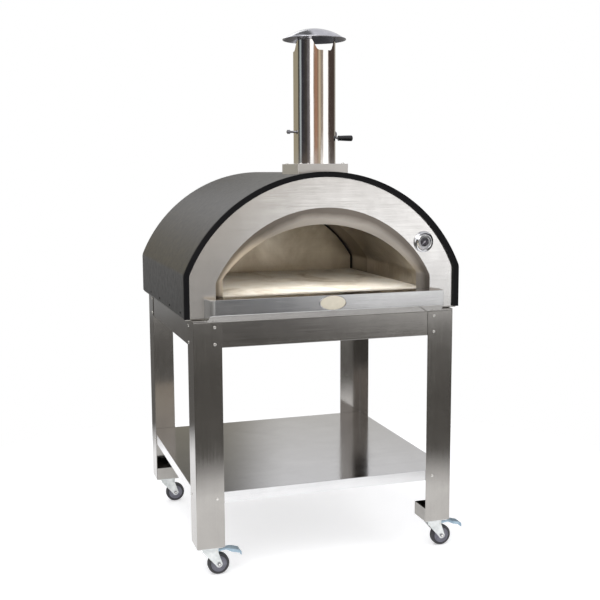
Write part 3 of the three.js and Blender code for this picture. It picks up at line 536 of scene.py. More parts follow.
def copies(name, mesh, places, material, body="oven"):
    """One piece made of the same small solid at several places."""
    bm = bmesh.new()
    for place in places:
        start = len(bm.verts)
        bm.from_mesh(mesh)
        bm.verts.ensure_lookup_table()
        bmesh.ops.transform(bm, matrix=place, verts=bm.verts[start:])
    return piece(name, bm, material, body, sharp=35)


def facing(place, outward):
    """Matrix that stands a part made along +Z on a surface with this outward direction."""
    turn = outward.to_track_quat("Z", "Y").to_matrix().to_4x4()
    return Matrix.Translation(place) @ turn


# ---- arched outlines

CORNER_EASE = 8 * MM
EASE_STEPS = 4
ARC_STEPS = 44


def arch(half, corner, top):
    """Upright sides as far as the corner height, under a round top."""
    rise = top - corner
    radius = (half**2 + rise**2) / (2 * rise)
    return {"half": half, "corner": corner, "radius": radius, "centre": top - radius}


def inset(outline, distance):
    half, radius = outline["half"] - distance, outline["radius"] - distance
    corner = outline["centre"] + math.sqrt(radius**2 - half**2)
    return {"half": half, "corner": corner, "radius": radius, "centre": outline["centre"]}


def curved(start, crook, end, t):
    """Quadratic Bezier point."""
    return start * (1 - t) ** 2 + crook * (2 * t * (1 - t)) + end * t * t


def arch_points(outline, y, bottom):
    """Points of an arch from its left foot over the top to its right foot, its two corners eased."""
    half, corner, radius, centre = (outline[key] for key in ("half", "corner", "radius", "centre"))
    eased = math.atan2(corner - centre, half) + CORNER_EASE / radius
    angles = [eased + (math.pi / 2 - eased) * k / ARC_STEPS for k in range(ARC_STEPS + 1)]
    over = [Vector((-radius * math.cos(a), centre + radius * math.sin(a))) for a in angles]
    foot, crook = Vector((-half, corner - CORNER_EASE)), Vector((-half, corner))
    left = [Vector((-half, bottom))]
    left += [curved(foot, crook, over[0], k / EASE_STEPS) for k in range(EASE_STEPS + 1)]
    left += over[1:]
    whole = left + [Vector((-p.x, p.y)) for p in reversed(left[:-1])]
    return [Vector((CENTRE_X + p.x, y, p.y)) for p in whole]


def solid_arch(outline, y0, y1, bottom):
    return prism(arch_points(outline, y0, bottom), Y * (y1 - y0))


def arched_skin(around, bottom):
    """Arched shell whose section along Y visits these (outline, y) pairs in turn."""
    return loops_to_solid([arch_points(outline, y, bottom) for outline, y in around])


def blended(near, far, share):
    return [a.lerp(b, share) for a, b in zip(near, far)]


def second_material(bm, y0, y1):
    """Marks the faces that lie wholly between two depths."""
    for face in bm.faces:
        if all(y0 < vert.co.y < y1 for vert in face.verts):
            face.material_index = 1


RIM_WIDTH = 17 * MM
RIM_DEPTH = 11.7 * MM
RIM_PROUD = 1.8 * MM
HOOD_ARCH = arch((hood_high.x - hood_low.x) / 2 - RIM_PROUD, hood_low.z + 150 * MM, hood_high.z - RIM_PROUD)
MOUTH_ARCH = arch(400 * MM, ledge_top + 51 * MM, ledge_top + 302 * MM)
THROAT_ARCH = arch(365 * MM, ledge_top + 60 * MM, ledge_top + 241 * MM)
DOME_ARCH = arch((dome_high.x - dome_low.x) / 2 - SHEET, dome_low.z + 89 * MM, dome_high.z - SHEET)
PANEL_ARCH = inset(HOOD_ARCH, SHEET + FIT)

# ---- oven body

GAUGE_HOLE_RADIUS = 26.3 * MM
SEAM_FROM_BACK = 190 * MM
SEAM_STEP = 1.4 * MM
BEAD_RADIUS = 3.6 * MM
# the badge's rings as (share of its outline, share of its thickness)
ENAMEL_RINGS = [(0.0, 0.0), (0.93, 0.0), (0.93, 0.55), (0.88, 0.86), (0.7, 0.95), (0.35, 1.0), (0.0, 1.0)]
BEZEL_RINGS = [(0.94, 0.0), (1.0, 0.0), (1.0, 0.45), (0.985, 0.8), (0.965, 0.9), (0.945, 0.8), (0.94, 0.45)]


def build_hood():
    y0, y1 = hood_low.y, hood_high.y
    rim_back = y0 + RIM_DEPTH
    proud, skin, lip = (inset(HOOD_ARCH, distance) for distance in (-RIM_PROUD, SHEET, RIM_WIDTH))
    around = [(proud, y0), (proud, rim_back), (HOOD_ARCH, rim_back), (HOOD_ARCH, y1)]
    around += [(skin, y1), (skin, rim_back), (lip, rim_back), (lip, y0)]
    bm = arched_skin(around, hood_low.z)
    second_material(bm, y0 - FIT, rim_back + FIT)
    hood = fine("hood_shell", bm, ["hood", "rim"])
    bore = rod(COLLAR_RADIUS + FIT, -0.2, 0.2, middle_of("flue_collar"), Z, 96)
    combined(hood, "DIFFERENCE", tool(bore, "hood"))
    rounded(hood, 0.8 * MM, 3)

    panel_low, panel_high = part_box("rear_panel")
    panel = solid_arch(PANEL_ARCH, panel_low.y, panel_high.y, panel_low.z)
    rounded(fine("rear_panel", panel, "hood"), 0.6 * MM)


def build_fascia():
    plate = solid_arch(PANEL_ARCH, fascia_low.y, fascia_high.y, fascia_low.z)
    fascia = fine("front_fascia", plate, "fascia")
    mouth = solid_arch(MOUTH_ARCH, fascia_low.y - 0.01, fascia_high.y + 0.01, ledge_top - SHEET - FIT)
    gauge = rod(GAUGE_HOLE_RADIUS, -0.05, 0.05, middle_of("thermometer_nut"), Y, 96)
    combined(fascia, "DIFFERENCE", tool(mouth, "fascia"), tool(gauge, "fascia"))
    rounded(fascia, 0.4 * MM)


def build_throat():
    y0, y1, bottom = throat_low.y, throat_high.y, throat_low.z
    neck = y1 - SHEET
    flange = inset(DOME_ARCH, -SHEET)
    inner_front, inner_back = arch_points(MOUTH_ARCH, y0, bottom), arch_points(THROAT_ARCH, y1, bottom)
    front = arch_points(inset(MOUTH_ARCH, -SHEET), y0, bottom)
    back = arch_points(inset(THROAT_ARCH, -SHEET), y1, bottom)
    loops = [blended(inner_front, inner_back, k / 4) for k in range(5)]
    loops += [arch_points(flange, y1, bottom), arch_points(flange, neck, bottom)]
    loops += [blended(front, back, (neck - y0) / (y1 - y0)), front]
    rounded(fine("mouth_throat", loops_to_solid(loops), "throat"), 0.5 * MM)


def build_chamber():
    """Dome in two lapped sheets, back wall with a black bead round it as painted shadow of the gap between
    wall and dome, hearth and tray.
    """
    y0, y1 = dome_low.y, dome_high.y
    seam = y1 - SEAM_FROM_BACK
    outer, lapped = inset(DOME_ARCH, -SHEET), inset(DOME_ARCH, -SEAM_STEP)
    around = [(outer, y0), (outer, y1), (lapped, y1), (lapped, seam), (DOME_ARCH, seam), (DOME_ARCH, y0)]
    bm = arched_skin(around, dome_low.z)
    second_material(bm, seam - FIT, y1 + FIT)
    dome = fine("inner_dome", bm, ["chamber", "chamber_back"])
    smoke_way = rod(COLLAR_RADIUS - 2 * MM, -0.3, 0.0, middle_of("flue_collar"), Z, 96)
    combined(dome, "DIFFERENCE", tool(smoke_way, "chamber"))
    rounded(dome, 0.3 * MM)

    wall = solid_arch(outer, wall_low.y, wall_high.y, wall_low.z)
    rounded(fine("inner_back_wall", wall, "chamber_wall"), 0.4 * MM)

    # a black tube along the join of back wall and dome: painted shadow of the gap there
    line = arch_points(inset(DOME_ARCH, BEAD_RADIUS * 0.5), wall_low.y - BEAD_RADIUS * 0.6, hearth_top + FIT)
    piece("back_wall_painted_gap_shadow", tube(line, BEAD_RADIUS, 12), "sealant", sharp=40)

    for corner in CORNERS:
        refined(f"hearth_tile_{corner}", "brick", fold=1.6 * MM)
    refined("base_tray", "across")


def build_ledge():
    refined("mouth_ledge", "ledge", fold=1.6 * MM)
    low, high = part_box("oval_badge")
    centre = (low + high) / 2
    half_x, half_z = (high.x - low.x) / 2, (high.z - low.z) / 2
    thick = high.y - low.y
    for part, rings, material in [("enamel", ENAMEL_RINGS, "badge"), ("bezel", BEZEL_RINGS, "chrome")]:
        bm = turned([(share, up * thick) for share, up in rings], ORIGIN, -Y, 96)
        for vert in bm.verts:
            x, y, z = vert.co
            vert.co = Vector((centre.x + x * half_x, high.y + y, centre.z + z * half_z))
        piece(f"oval_badge_{part}", bm, material, "oven", ["oval_badge"], sharp=50)


# ---- flue and damper

WINDOW_DIRECTIONS = (12, 132, 252)
WINDOW_DEPTH = 62.5 * MM
WINDOW_SHOULDER = 24.5 * MM
WINDOW_FOOT = 28 * MM
WINDOW_HEAD = 46 * MM
WINDOW_CORNER = 9 * MM
WINDOW_FLARE = 4 * MM
ROD_RADIUS = 4 * MM
NECK_LEAD = 17 * MM
NECK_STEPS = 18
CAP_STEPS = 22
CAP_BEAD = 2 * MM
# a height between the hearth and the dome
INSIDE_CHAMBER = 1.0


def window_outline(tall):
    """One window of the pipe as (across, up), open beyond the pipe's top."""
    sill, shoulder = tall - WINDOW_DEPTH, tall - WINDOW_SHOULDER
    corner = (WINDOW_FOOT - WINDOW_CORNER, WINDOW_FOOT, WINDOW_FOOT + WINDOW_FLARE)
    right = [(curved(*corner, k / 6), sill + WINDOW_CORNER * (k / 6) ** 2) for k in range(7)]
    right += [(WINDOW_HEAD, shoulder), (WINDOW_HEAD, tall + 0.02)]
    return right + [(-across, up) for across, up in reversed(right)]


def build_flue():
    refined("flue_base", "flue_box", fold=2.4 * MM)
    low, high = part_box("flue_pipe")
    middle = Vector(((low.x + high.x) / 2, (low.y + high.y) / 2, low.z))
    radius, tall = (high.x - low.x) / 2, high.z - low.z
    profile = [(radius, tall * k / 8) for k in range(9)]
    profile += [(radius - THIN_SHEET, tall), (radius - THIN_SHEET, 0.0)]
    pipe = fine("flue_pipe", turned(profile, middle, Z, 128), "pipe")
    openings = []
    for degrees in WINDOW_DIRECTIONS:
        outward = Matrix.Rotation(math.radians(degrees), 3, "Z") @ -Y
        side = outward.cross(Z)
        outline = [middle + side * across + Z * up for across, up in window_outline(tall)]
        openings.append(prism(outline, outward * 0.15))
    rod_line = Vector((middle.x, middle.y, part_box("damper_axle")[1].z - ROD_RADIUS))
    openings.append(rod(ROD_RADIUS + FIT, -0.1, 0.1, rod_line, X, 32))
    combined(pipe, "DIFFERENCE", *[tool(opening, "pipe") for opening in openings])
    pipe.data.set_sharp_from_angle(angle=math.radians(35))

    base, tall = Vector((middle.x, middle.y, collar_low.z)), collar_high.z - collar_low.z
    bore = COLLAR_RADIUS - THIN_SHEET
    ring = [(COLLAR_RADIUS, 0.0), (COLLAR_RADIUS, tall), (bore, tall), (bore, 0.0)]
    collar = fine("flue_collar", turned(ring, base, Z, 96), "cap")
    under = solid_arch(inset(DOME_ARCH, -SHEET - FIT), middle.y - 0.1, middle.y + 0.1, INSIDE_CHAMBER)
    combined(collar, "DIFFERENCE", tool(under, "cap"))
    collar.data.set_sharp_from_angle(angle=math.radians(35))

    build_cap(middle)
    build_damper(middle, rod_line, radius)


def build_cap(middle):
    """Shallow part of a hollow ball with a rolled edge."""
    low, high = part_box("flue_cap")
    reach, rise = (high.x - low.x) / 2, high.z - low.z
    ball = (reach**2 + rise**2) / (2 * rise)
    centre = high.z - ball
    edge = math.asin((reach - CAP_BEAD) / ball)
    angles = [edge * k / CAP_STEPS for k in range(CAP_STEPS + 1)]
    outside, inside = (
        [(radius * math.sin(a), centre + radius * math.cos(a)) for a in angles]
        for radius in (ball, ball - THIN_SHEET)
    )
    roll = arc(reach - CAP_BEAD, low.z + CAP_BEAD + 0.6 * MM, CAP_BEAD, 70, -150, 10)
    profile = outside + roll + inside[-2::-1]
    bm = turned(profile, Vector((middle.x, middle.y, 0)), Z, 128)
    fine("flue_cap", bm, "cap", sharp=50)


def build_damper(middle, rod_line, pipe_radius):
    start_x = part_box("damper_axle")[0].x
    grip_low, grip_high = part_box("damper_grip")
    grip_z = (grip_low.z + grip_high.z) / 2
    bend_x = pipe_radius + middle.x - 1 * MM
    path = [Vector((x, middle.y, rod_line.z)) for x in (start_x, start_x + 0.05, bend_x - 0.02)]
    start, end = Vector((bend_x, middle.y, rod_line.z)), Vector((grip_low.x - MM, middle.y, grip_z))
    ahead, behind = start + X * NECK_LEAD, end - X * NECK_LEAD
    for k in range(NECK_STEPS + 1):
        t = k / NECK_STEPS
        near = start * (1 - t) ** 3 + ahead * (3 * t * (1 - t) ** 2)
        path.append(near + behind * (3 * t * t * (1 - t)) + end * t**3)
    path.append(Vector((grip_low.x + 0.03, middle.y, grip_z)))
    axle = fine("damper_axle", tube(path, ROD_RADIUS, 28), "dull_zinc", "damper", sharp=40)
    rounded(axle, 0.6 * MM, angle=50)

    low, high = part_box("damper_plate")
    centre = Vector((middle.x, low.y, (low.z + high.z) / 2))
    disc = rod((high.x - low.x) / 2, 0, high.y - low.y, centre, Y, 96)
    rounded(fine("damper_plate", disc, "across", "damper"), 0.5 * MM)

    low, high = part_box("damper_nut")
    nut = hex_nut((high.z - low.z) / 2, high.x - low.x, ROD_RADIUS + FIT)
    place = facing(Vector((low.x, middle.y, rod_line.z)), X)
    nut_piece = copies("damper_nut_fine", nut, [place], "dull_zinc", "damper")
    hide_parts("damper_nut")

    size, long = (grip_high.z - grip_low.z) / 2, grip_high.x - grip_low.x
    bore, foot, foot_edge, nose_edge = ROD_RADIUS + FIT, size * 0.80, 1.2 * MM, 3.4 * MM
    profile = [(bore, 0.0), (foot, 0.0)]
    profile += arc(foot, foot_edge, foot_edge, -90, 0, 4)[1:]
    profile += [(size * wide, long * along) for wide, along in ((0.86, 0.12), (0.93, 0.4), (0.985, 0.7))]
    profile += arc(size - nose_edge, long - nose_edge, nose_edge, 0, 90, 8)
    profile += [(0.0, long), (0.0, long * 0.6), (bore, long * 0.6)]
    grip = turned(profile, Vector((grip_low.x, middle.y, grip_z)), X)
    fine("damper_grip", grip, "grip", "damper", sharp=50)


# ---- fasteners

BEAM_SCREW_DROPS = [16 * MM, 75 * MM]
SHELF_SCREW_DROP = 22 * MM
SCREW_IN_X, SCREW_IN_Y = 25 * MM, 18 * MM
RIVET_LINE = 14 * MM
FIRST_RIVET, RIVET_SPACING = 82 * MM, 205 * MM
PANEL_RIVET_INSET = 22 * MM
BOLT_X, BOLT_Y = 78 * MM, 82 * MM


def hex_nut(size, thick, bore):
    """Hexagonal nut along +Z, corner radius size, with a bore and chamfered corners."""
    nut = tool(rod(size, 0, thick, ORIGIN, Z, 6, bore), "zinc")
    face, start, end = size * 0.9, thick * 0.14, thick * 0.86
    rounder = [(0, 0), (face, 0), (size, start), (size, end), (face, thick), (0, thick)]
    combined(nut, "INTERSECT", tool(turned(rounder, ORIGIN, Z, 48), "zinc"))
    combined(nut, "DIFFERENCE", tool(rod(bore, -0.01, 0.03, ORIGIN, Z, 24), "zinc"))
    return mesh_only(nut)


def domed(radius, height, rim, angles):
    """Profile of a fastener's head: a rim that takes this share of the height, and a dome on it."""
    dome = [(radius * math.cos(a), height * (rim + (1 - rim) * math.sin(a))) for a in angles]
    return [(0, 0), (radius, 0), (radius, height * rim), *dome]


def screw_head(radius, height):
    """Pan head along +Z with a cross recess."""
    profile = [*domed(radius, height, 0.35, (0.35, 0.7, 1.05, 1.35)), (0, height)]
    head = tool(turned(profile, ORIGIN, Z, 32), "screw")
    long, wide, deep = radius * 0.55, radius * 0.13, height * 0.5
    bars = [block((-x, -y, deep), (x, y, height * 2)) for x, y in ((long, wide), (wide, long))]
    combined(head, "DIFFERENCE", *[tool(bar, "screw") for bar in bars])
    return mesh_only(head)


def rivet_head(radius, height):
    """Domed rivet head along +Z with a small centre dimple."""
    profile = domed(radius, height, 0.25, (0.3, 0.6, 0.9, 1.15))
    profile += [(radius * 0.3, height), (radius * 0.26, height * 0.7), (0, height * 0.7)]
    return mesh_only(tool(turned(profile, ORIGIN, Z, 32), "rim"))


def build_fasteners():
    screw = screw_head(5.2 * MM, 2.6 * MM)
    heights = [table_bottom - drop for drop in BEAM_SCREW_DROPS]
    heights.append(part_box("lower_shelf")[1].z - SHELF_SCREW_DROP)
    for corner in CORNERS:
        low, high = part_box(f"leg_{corner}")
        side, end = -1 if "left" in corner else 1, -1 if "front" in corner else 1
        face_x, inner_x = (low.x, high.x) if side < 0 else (high.x, low.x)
        face_y, inner_y = (low.y, high.y) if end < 0 else (high.y, low.y)
        places = []
        for z in heights:
            places.append(facing(Vector((inner_x + side * SCREW_IN_X, face_y, z)), Y * end))
            places.append(facing(Vector((face_x, inner_y + end * SCREW_IN_Y, z)), X * side))
        copies(f"leg_screws_{corner}", screw, places, "screw")

    rivet = rivet_head(4.4 * MM, 1.6 * MM)
    places = []
    for y in [hood_low.y + FIRST_RIVET + RIVET_SPACING * k for k in range(4)]:
        for side in (-1, 1):
            spot = Vector((CENTRE_X + side * HOOD_ARCH["half"], y, hood_low.z + RIVET_LINE))
            places.append(facing(spot, X * side))
    copies("hood_rivets", rivet, places, "rim")

    panel_low, panel_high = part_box("rear_panel")
    line = inset(HOOD_ARCH, PANEL_RIVET_INSET)
    angles = [math.radians(28 + 124 * k / 8) for k in range(9)]
    spots = [(line["radius"] * math.cos(a), line["centre"] + line["radius"] * math.sin(a)) for a in angles]
    spots += [(x, panel_low.z + RIVET_LINE) for x in (-0.47, -0.235, 0.0, 0.235, 0.47)]
    places = [facing(Vector((CENTRE_X + x, panel_high.y, z)), Y) for x, z in spots]
    copies("rear_panel_rivets", rivet, places, "rim")

    middle, top = middle_of("flue_base"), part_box("flue_base")[1].z
    spots = [(middle.x + sx * BOLT_X, middle.y + sy * BOLT_Y) for sx in (-1, 1) for sy in (-1, 1)]
    places = [facing(Vector((x, y, top)), Z) for x, y in spots]
    copies("flue_base_bolts", screw_head(5.5 * MM, 3.8 * MM), places, "screw")


# ---- stand


def build_stand():
    for corner in CORNERS:
        refined(f"leg_{corner}", "legs", fold=2.6 * MM)
        refined(f"foot_box_{corner}", "legs")
    for name, material in {"front": "across", "rear": "across", "left": "depth", "right": "depth"}.items():
        refined(f"beam_{name}", material)
    refined("table_top", "across", fold=2.4 * MM)
    refined("lower_shelf", "shelf", fold=2.6 * MM)


# ---- casters

AXLE_TRAIL = 35 * MM
AXLE_HOLE = 4.3 * MM
AXLE_NUT_SEAT = 17.5 * MM
# the pedal's pin, ahead of the swivel and above the floor
PIN_X, PIN_Z = 27 * MM, 88 * MM
# the wheel's half section in mm, as (radius, half width)
WHEEL_WEB = [(12.2, 8.6), (14, 8.0), (24.5, 8.0), (26.4, 9.2), (27.2, 11.4), (28.6, 12.2)]
TYRE_EDGE = [(28.9, 11.6), (29.5, 12.5), (31.5, 13)]
TREAD, TREAD_EDGE = 13 * MM, 6.5 * MM
# the line of the pedal's sheet in mm, ahead of the swivel and above the floor
PEDAL_KNOTS = [(28, 88), (48, 91.5), (66, 92), (84, 89.5), (100, 85.5), (110, 82.3)]
PEDAL_RISE = 1.5 * MM


def build_wheel(corner, axle):
    low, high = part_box(f"caster_wheel_{corner}")
    size, half = (high.z - low.z) / 2, (high.y - low.y) / 2
    core = [(AXLE_HOLE, half), (9.5 * MM, half)]
    core += arc(9.5 * MM, half - 1.5 * MM, 1.5 * MM, 90, 0, 4)[1:]
    core += [(radius * MM, y * MM) for radius, y in WHEEL_WEB]
    tyre = [(radius * MM, y * MM) for radius, y in TYRE_EDGE]
    tyre += arc(size - TREAD_EDGE, TREAD - TREAD_EDGE, TREAD_EDGE, 80, 12, 8)
    tyre += [(size - 0.02 * MM, 4.2 * MM)]
    profile = core + tyre
    profile += [(radius, -y) for radius, y in reversed(profile)]
    marks = [0] * (len(core) - 1) + [1] * (len(tyre) * 2 + 1) + [0] * len(core)
    bm = turned(profile, axle, Y, 72, marks)
    fine(f"caster_wheel_{corner}", bm, ["wheel", "tyre"], f"wheel_{corner}", sharp=45)


def build_fork(corner, axle):
    """Two cheeks that narrow to a round eye at the axle, joined by a crown under the swivel."""
    low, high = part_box(f"caster_fork_{corner}")
    swivel = Vector((axle.x - AXLE_TRAIL, axle.y, 0))
    sheet, crown = 2.5 * MM, 3 * MM
    outer = (high.y - low.y) / 2
    front, back, eye = -24 * MM, 33 * MM, 12 * MM
    eye_start, eye_end = 3.49, 0.26 + 2 * math.pi
    outline = [(front, high.z), (front, 90 * MM)]
    for k in range(29):
        a = eye_start + (eye_end - eye_start) * k / 28
        outline.append((axle.x - swivel.x + eye * math.cos(a), axle.z + eye * math.sin(a)))
    outline += [(back, 82 * MM), (back, high.z)]
    cheeks = []
    for y in (-outer, outer - sheet):
        points = [Vector((swivel.x + x, swivel.y + y, z)) for x, z in outline]
        cheeks.append(tool(prism(points, Y * sheet), "zinc"))
    low_corner = (swivel.x + front, swivel.y - outer, high.z - crown)
    top = block(low_corner, (swivel.x + back, swivel.y + outer, high.z))
    fork = fine(f"caster_fork_{corner}", top, "zinc", f"caster_{corner}")
    combined(fork, "UNION", *cheeks)
    holes = [
        (6 * MM, Vector((swivel.x, swivel.y, high.z)), Z),
        (AXLE_HOLE, axle, Y),
        (2.8 * MM, Vector((swivel.x + PIN_X, axle.y, PIN_Z)), Y),
    ]
    cutters = [rod(radius, -0.04, 0.04, place, axis, 32) for radius, place, axis in holes]
    combined(fork, "DIFFERENCE", *[tool(cutter, "zinc") for cutter in cutters])
    rounded(tidied(fork), 0.7 * MM, angle=40)


def build_axle(corner, axle):
    low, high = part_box(f"caster_axle_{corner}")
    bolt = pin(4 * MM, 0.4 * MM, 0, high.y - low.y, Vector((axle.x, low.y, axle.z)), 32)
    fine(f"caster_axle_{corner}", bolt, "screw", f"caster_{corner}", sharp=40)
    nut = hex_nut(7 * MM, 4.4 * MM, 4.02 * MM)
    seats = [(side, Vector((axle.x, axle.y + side * AXLE_NUT_SEAT, axle.z))) for side in (-1, 1)]
    places = [facing(seat, Y * side) for side, seat in seats]
    copies(f"caster_axle_nuts_{corner}", nut, places, "dull_zinc", f"caster_{corner}")


def pin(radius, chamfer, low, high, centre, steps):
    """Round pin along Y with chamfered ends."""
    face = radius - chamfer
    profile = [(0, low), (face, low), (radius, low + chamfer)]
    profile += [(radius, high - chamfer), (face, high), (0, high)]
    return turned(profile, centre, Y, steps)


def share_of(value):
    return min(1.0, max(0.0, value))


def build_pedal(corner, axle):
    """Pressed pedal: a channel along a curved run that widens to the foot pad, with three raised grips."""
    swivel_x = axle.x - AXLE_TRAIL
    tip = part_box(f"brake_pedal_{corner}")[1].x - swivel_x - 1.9 * MM
    knots = [(x * MM, z * MM) for x, z in PEDAL_KNOTS] + [(tip, 76 * MM), (tip, 65 * MM)]
    run = smooth_run(knots, 6)

    def top_of(point, before, after):
        """The channel's top at a point of the run, and its upward direction there."""
        along = Vector((after[0] - before[0], 0, after[1] - before[1])).normalized()
        up = Vector((-along.z, 0, along.x))
        return Vector((swivel_x + point[0], axle.y, point[1])) + up * PEDAL_RISE, up

    loops = []
    for k, point in enumerate(run):
        middle, up = top_of(point, run[max(k - 1, 0)], run[min(k + 1, len(run) - 1)])
        share = share_of((point[0] - 62 * MM) / (20 * MM))
        fade = share_of((len(run) - 1 - k) / 8)
        half = 12 * MM + 7 * MM * share * share * (3 - 2 * share)
        skirt = 2.2 * MM + (3.8 * MM + 5 * MM * share) * fade
        inner = half - SHEET
        section = [(-half, -skirt), (-half, 0), (half, 0), (half, -skirt)]
        section += [(inner, -skirt), (inner, -SHEET), (-inner, -SHEET), (-inner, -skirt)]
        loops.append([middle + Y * across + up * lift for across, lift in section])
    body, slot = f"pedal_{corner}", "zinc_blue"
    channel = loops_to_solid(list(zip(*loops)))
    rounded(fine(f"brake_pedal_{corner}", channel, "blue_zinc", body), 0.7 * MM, angle=40)

    grips = bmesh.new()
    for k in (18, 22, 26):
        middle, up = top_of(run[k], run[k], run[k + 1])
        tube([middle + Y * across * MM for across in (-13, -12, 12, 13)], 1.2 * MM, 12, grips)
    piece(f"brake_pedal_grips_{corner}", grips, "blue_zinc", body, sharp=40)
    half = 16.8 * MM
    hinge = pin(2.5 * MM, 0.3 * MM, -half, half, Vector((swivel_x + PIN_X, axle.y, PIN_Z)), 24)
    piece(f"brake_pedal_pin_{corner}", hinge, "screw", body, sharp=40)


def smooth_run(knots, steps):
    """Catmull-Rom points through knots."""

    def point(a, b, c, d, t):
        bend = (2 * a - 5 * b + 4 * c - d) * t * t + (3 * b - a - 3 * c + d) * t**3
        return 0.5 * (2 * b + (c - a) * t + bend)

    run = []
    ends = [knots[0], *knots, knots[-1]]
    for four in zip(ends, ends[1:], ends[2:], ends[3:]):
        for k in range(steps):
            run.append(tuple(point(*values, k / steps) for values in zip(*four)))
    run.append(knots[-1])
    return run


def build_casters():
    for corner in CORNERS:
        refined(f"caster_plate_{corner}", "zinc", fold=1.0 * MM)
        axle = middle_of(f"caster_wheel_{corner}")
        build_wheel(corner, axle)
        build_fork(corner, axle)
        build_axle(corner, axle)
        if "front" in corner:
            build_pedal(corner, axle)


# ---- thermometer

STEM_RADIUS, STEM_LENGTH = 26 * MM, 14 * MM
DIAL_START = -135
# the needle's outline in mm, as (along, across)
BLADE = [(-6, -0.9), (-6, 0.9), (0, 1.3), (10, 0.75), (16, 0.15), (16, -0.15), (10, -0.75), (0, -1.3)]


def hand(degrees):
    """Directions along and across a clock hand at this angle from the top."""
    angle = math.radians(degrees)
    sine, cosine = math.sin(angle), math.cos(angle)
    return Vector((sine, 0, cosine)), Vector((cosine, 0, -sine))


def build_thermometer():
    case_low, case_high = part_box("thermometer_case")
    dial_low, dial_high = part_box("thermometer_dial")
    centre = Vector(((case_low.x + case_high.x) / 2, fascia_low.y, (case_low.z + case_high.z) / 2))
    flange, dial = (case_high.x - case_low.x) / 2, (dial_high.x - dial_low.x) / 2
    depth = fascia_low.y - case_low.y
    back, front = fascia_low.y - dial_high.y, fascia_low.y - dial_low.y
    seat, bezel, edge = back - FIT, 2 * MM, 2.2 * MM
    profile = [(0, seat), (dial + 1.4 * MM, seat), (dial + 1.4 * MM, depth - bezel)]
    profile += arc(dial + 3.4 * MM, depth - bezel, bezel, 180, 20, 10)
    profile += [(dial + out * MM, depth - down * MM) for out, down in ((6.6, 6), (8.2, 8.6), (11, 11))]
    profile += arc(flange - edge, 2.4 * MM, edge, 70, -60, 8)
    profile += [(flange - edge, FIT), (STEM_RADIUS, FIT), (STEM_RADIUS, -STEM_LENGTH), (0, -STEM_LENGTH)]
    fine("thermometer_case", turned(profile, centre, -Y, 96), "chrome", sharp=48)

    rings = [(0, back), (dial, back), (dial, front), (dial * 0.76, front), (0, front)]
    face = turned(rings, centre, -Y, 96, [0, 0, 0, 1, 0])
    fine("thermometer_dial", face, ["dial", "dial_dark"], sharp=30)

    ticks = bmesh.new()
    for k in range(28):
        out, across = hand(DIAL_START + 10 * k)
        long, wide = (0.17, 0.34) if k % 3 == 0 else (0.11, 0.2)
        long, wide = dial * long, wide * MM
        start = centre - Y * front + out * (dial * 0.94 - long)
        corners = [start - across * wide, start + across * wide]
        corners += [corner + out * long for corner in reversed(corners)]
        prism(corners, -Y * (0.12 * MM), ticks)
    piece("thermometer_dial_marks", ticks, "dial_dark", sharp=30)

    low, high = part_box("thermometer_needle")
    thick = high.y - low.y
    start = Vector((centre.x, high.y, centre.z))
    out, across = hand(DIAL_START)
    bm = prism([start + out * (a * MM) + across * (b * MM) for a, b in BLADE], -Y * thick * 0.5)
    hub = [(0, 0.55), (3, 0.55), (3, 0.85), (2.4, 1), (0, 1)]
    turned([(radius * MM, thick * share) for radius, share in hub], start, -Y, 32, bm=bm)
    fine("thermometer_needle", bm, "needle", "needle", sharp=30)

    low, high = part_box("thermometer_lens")
    size, thin, foot = (high.x - low.x) / 2, high.y - low.y, fascia_low.y - high.y
    dome = [(0, foot), (size, foot), (size, foot + thin * 0.5)]
    dome += [(size * share, foot + thin * (1 - 0.5 * share * share)) for share in (0.9, 0.7, 0.5, 0.25, 0)]
    fine("thermometer_lens", turned(dome, centre, -Y, 96), "glass", sharp=40)


# ---- pieces that keep their CAD mesh


def dress_hidden_nodes():
    materials = {"insulation_blanket": "fibre", "floor_insulation": "fibre", "thermometer_nut": "zinc"}
    for node, material in materials.items():
        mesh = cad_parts[node].data
        mesh.materials.clear()
        mesh.materials.append(MATERIAL[material])


# ---- stage, light and camera

FLOOR_RADIUS = 1.9
FLOOR_SOLID = 1.35
FLOOR_GLOW = 0.36
FLOOR_DROP = 0.5 * MM


def build_floor():
    """Pale disc that fades out at its edge."""
    g = Graph("studio_floor", Roughness=0.85, Emission_Color=(1, 1, 1, 1), Emission_Strength=FLOOR_GLOW)
    g.tone(g.noise(2, detail=4.0), 0.90, 0.93)
    distance = g.add("ShaderNodeVectorMath", Vector=g.place)
    distance.operation = "LENGTH"
    g.set(Alpha=g.between(distance.outputs["Value"], 1.0, 0.0, FLOOR_SOLID, FLOOR_RADIUS))
    bm = bmesh.new()
    bmesh.ops.create_circle(bm, cap_ends=True, radius=FLOOR_RADIUS, segments=128)
    mesh = bpy.data.meshes.new("studio_floor")
    bm.to_mesh(mesh)
    bm.free()
    mesh.materials.append(g.material)
    floor = linked("studio_floor", mesh)
    floor.location.z = -FLOOR_DROP


# what stands around the oven in each band of height: (degrees from the front, colour or grey), where
# straight behind is 180 either way, the left is negative and the right is positive
SKIRTING = [
    (-180, 0.30), (0, 0.30), (10, 0.85), (12.6, (0.16, 0.165, 0.18)), (17, (0.24, 0.245, 0.27)),
    (19, (0.50, 0.50, 0.52)), (21, (1.10, 1.10, 1.12)), (60, (1.10, 1.10, 1.11)), (90, 0.30), (180, 0.30),
]
SCREENS = [
    (-180, (0.42, 0.41, 0.40)), (-110, (0.42, 0.41, 0.40)), (-100, (0.20, 0.16, 0.13)),
    (-50, (0.22, 0.18, 0.15)), (-35, 0.90), (0, (0.50, 0.46, 0.40)), (12.5, (0.30, 0.27, 0.23)),
    (15, (0.66, 0.65, 0.63)), (17.5, (1.75, 1.75, 1.76)), (60, (1.95, 1.95, 1.97)),
    (75, (0.45, 0.42, 0.40)), (180, (0.42, 0.41, 0.40)),
]
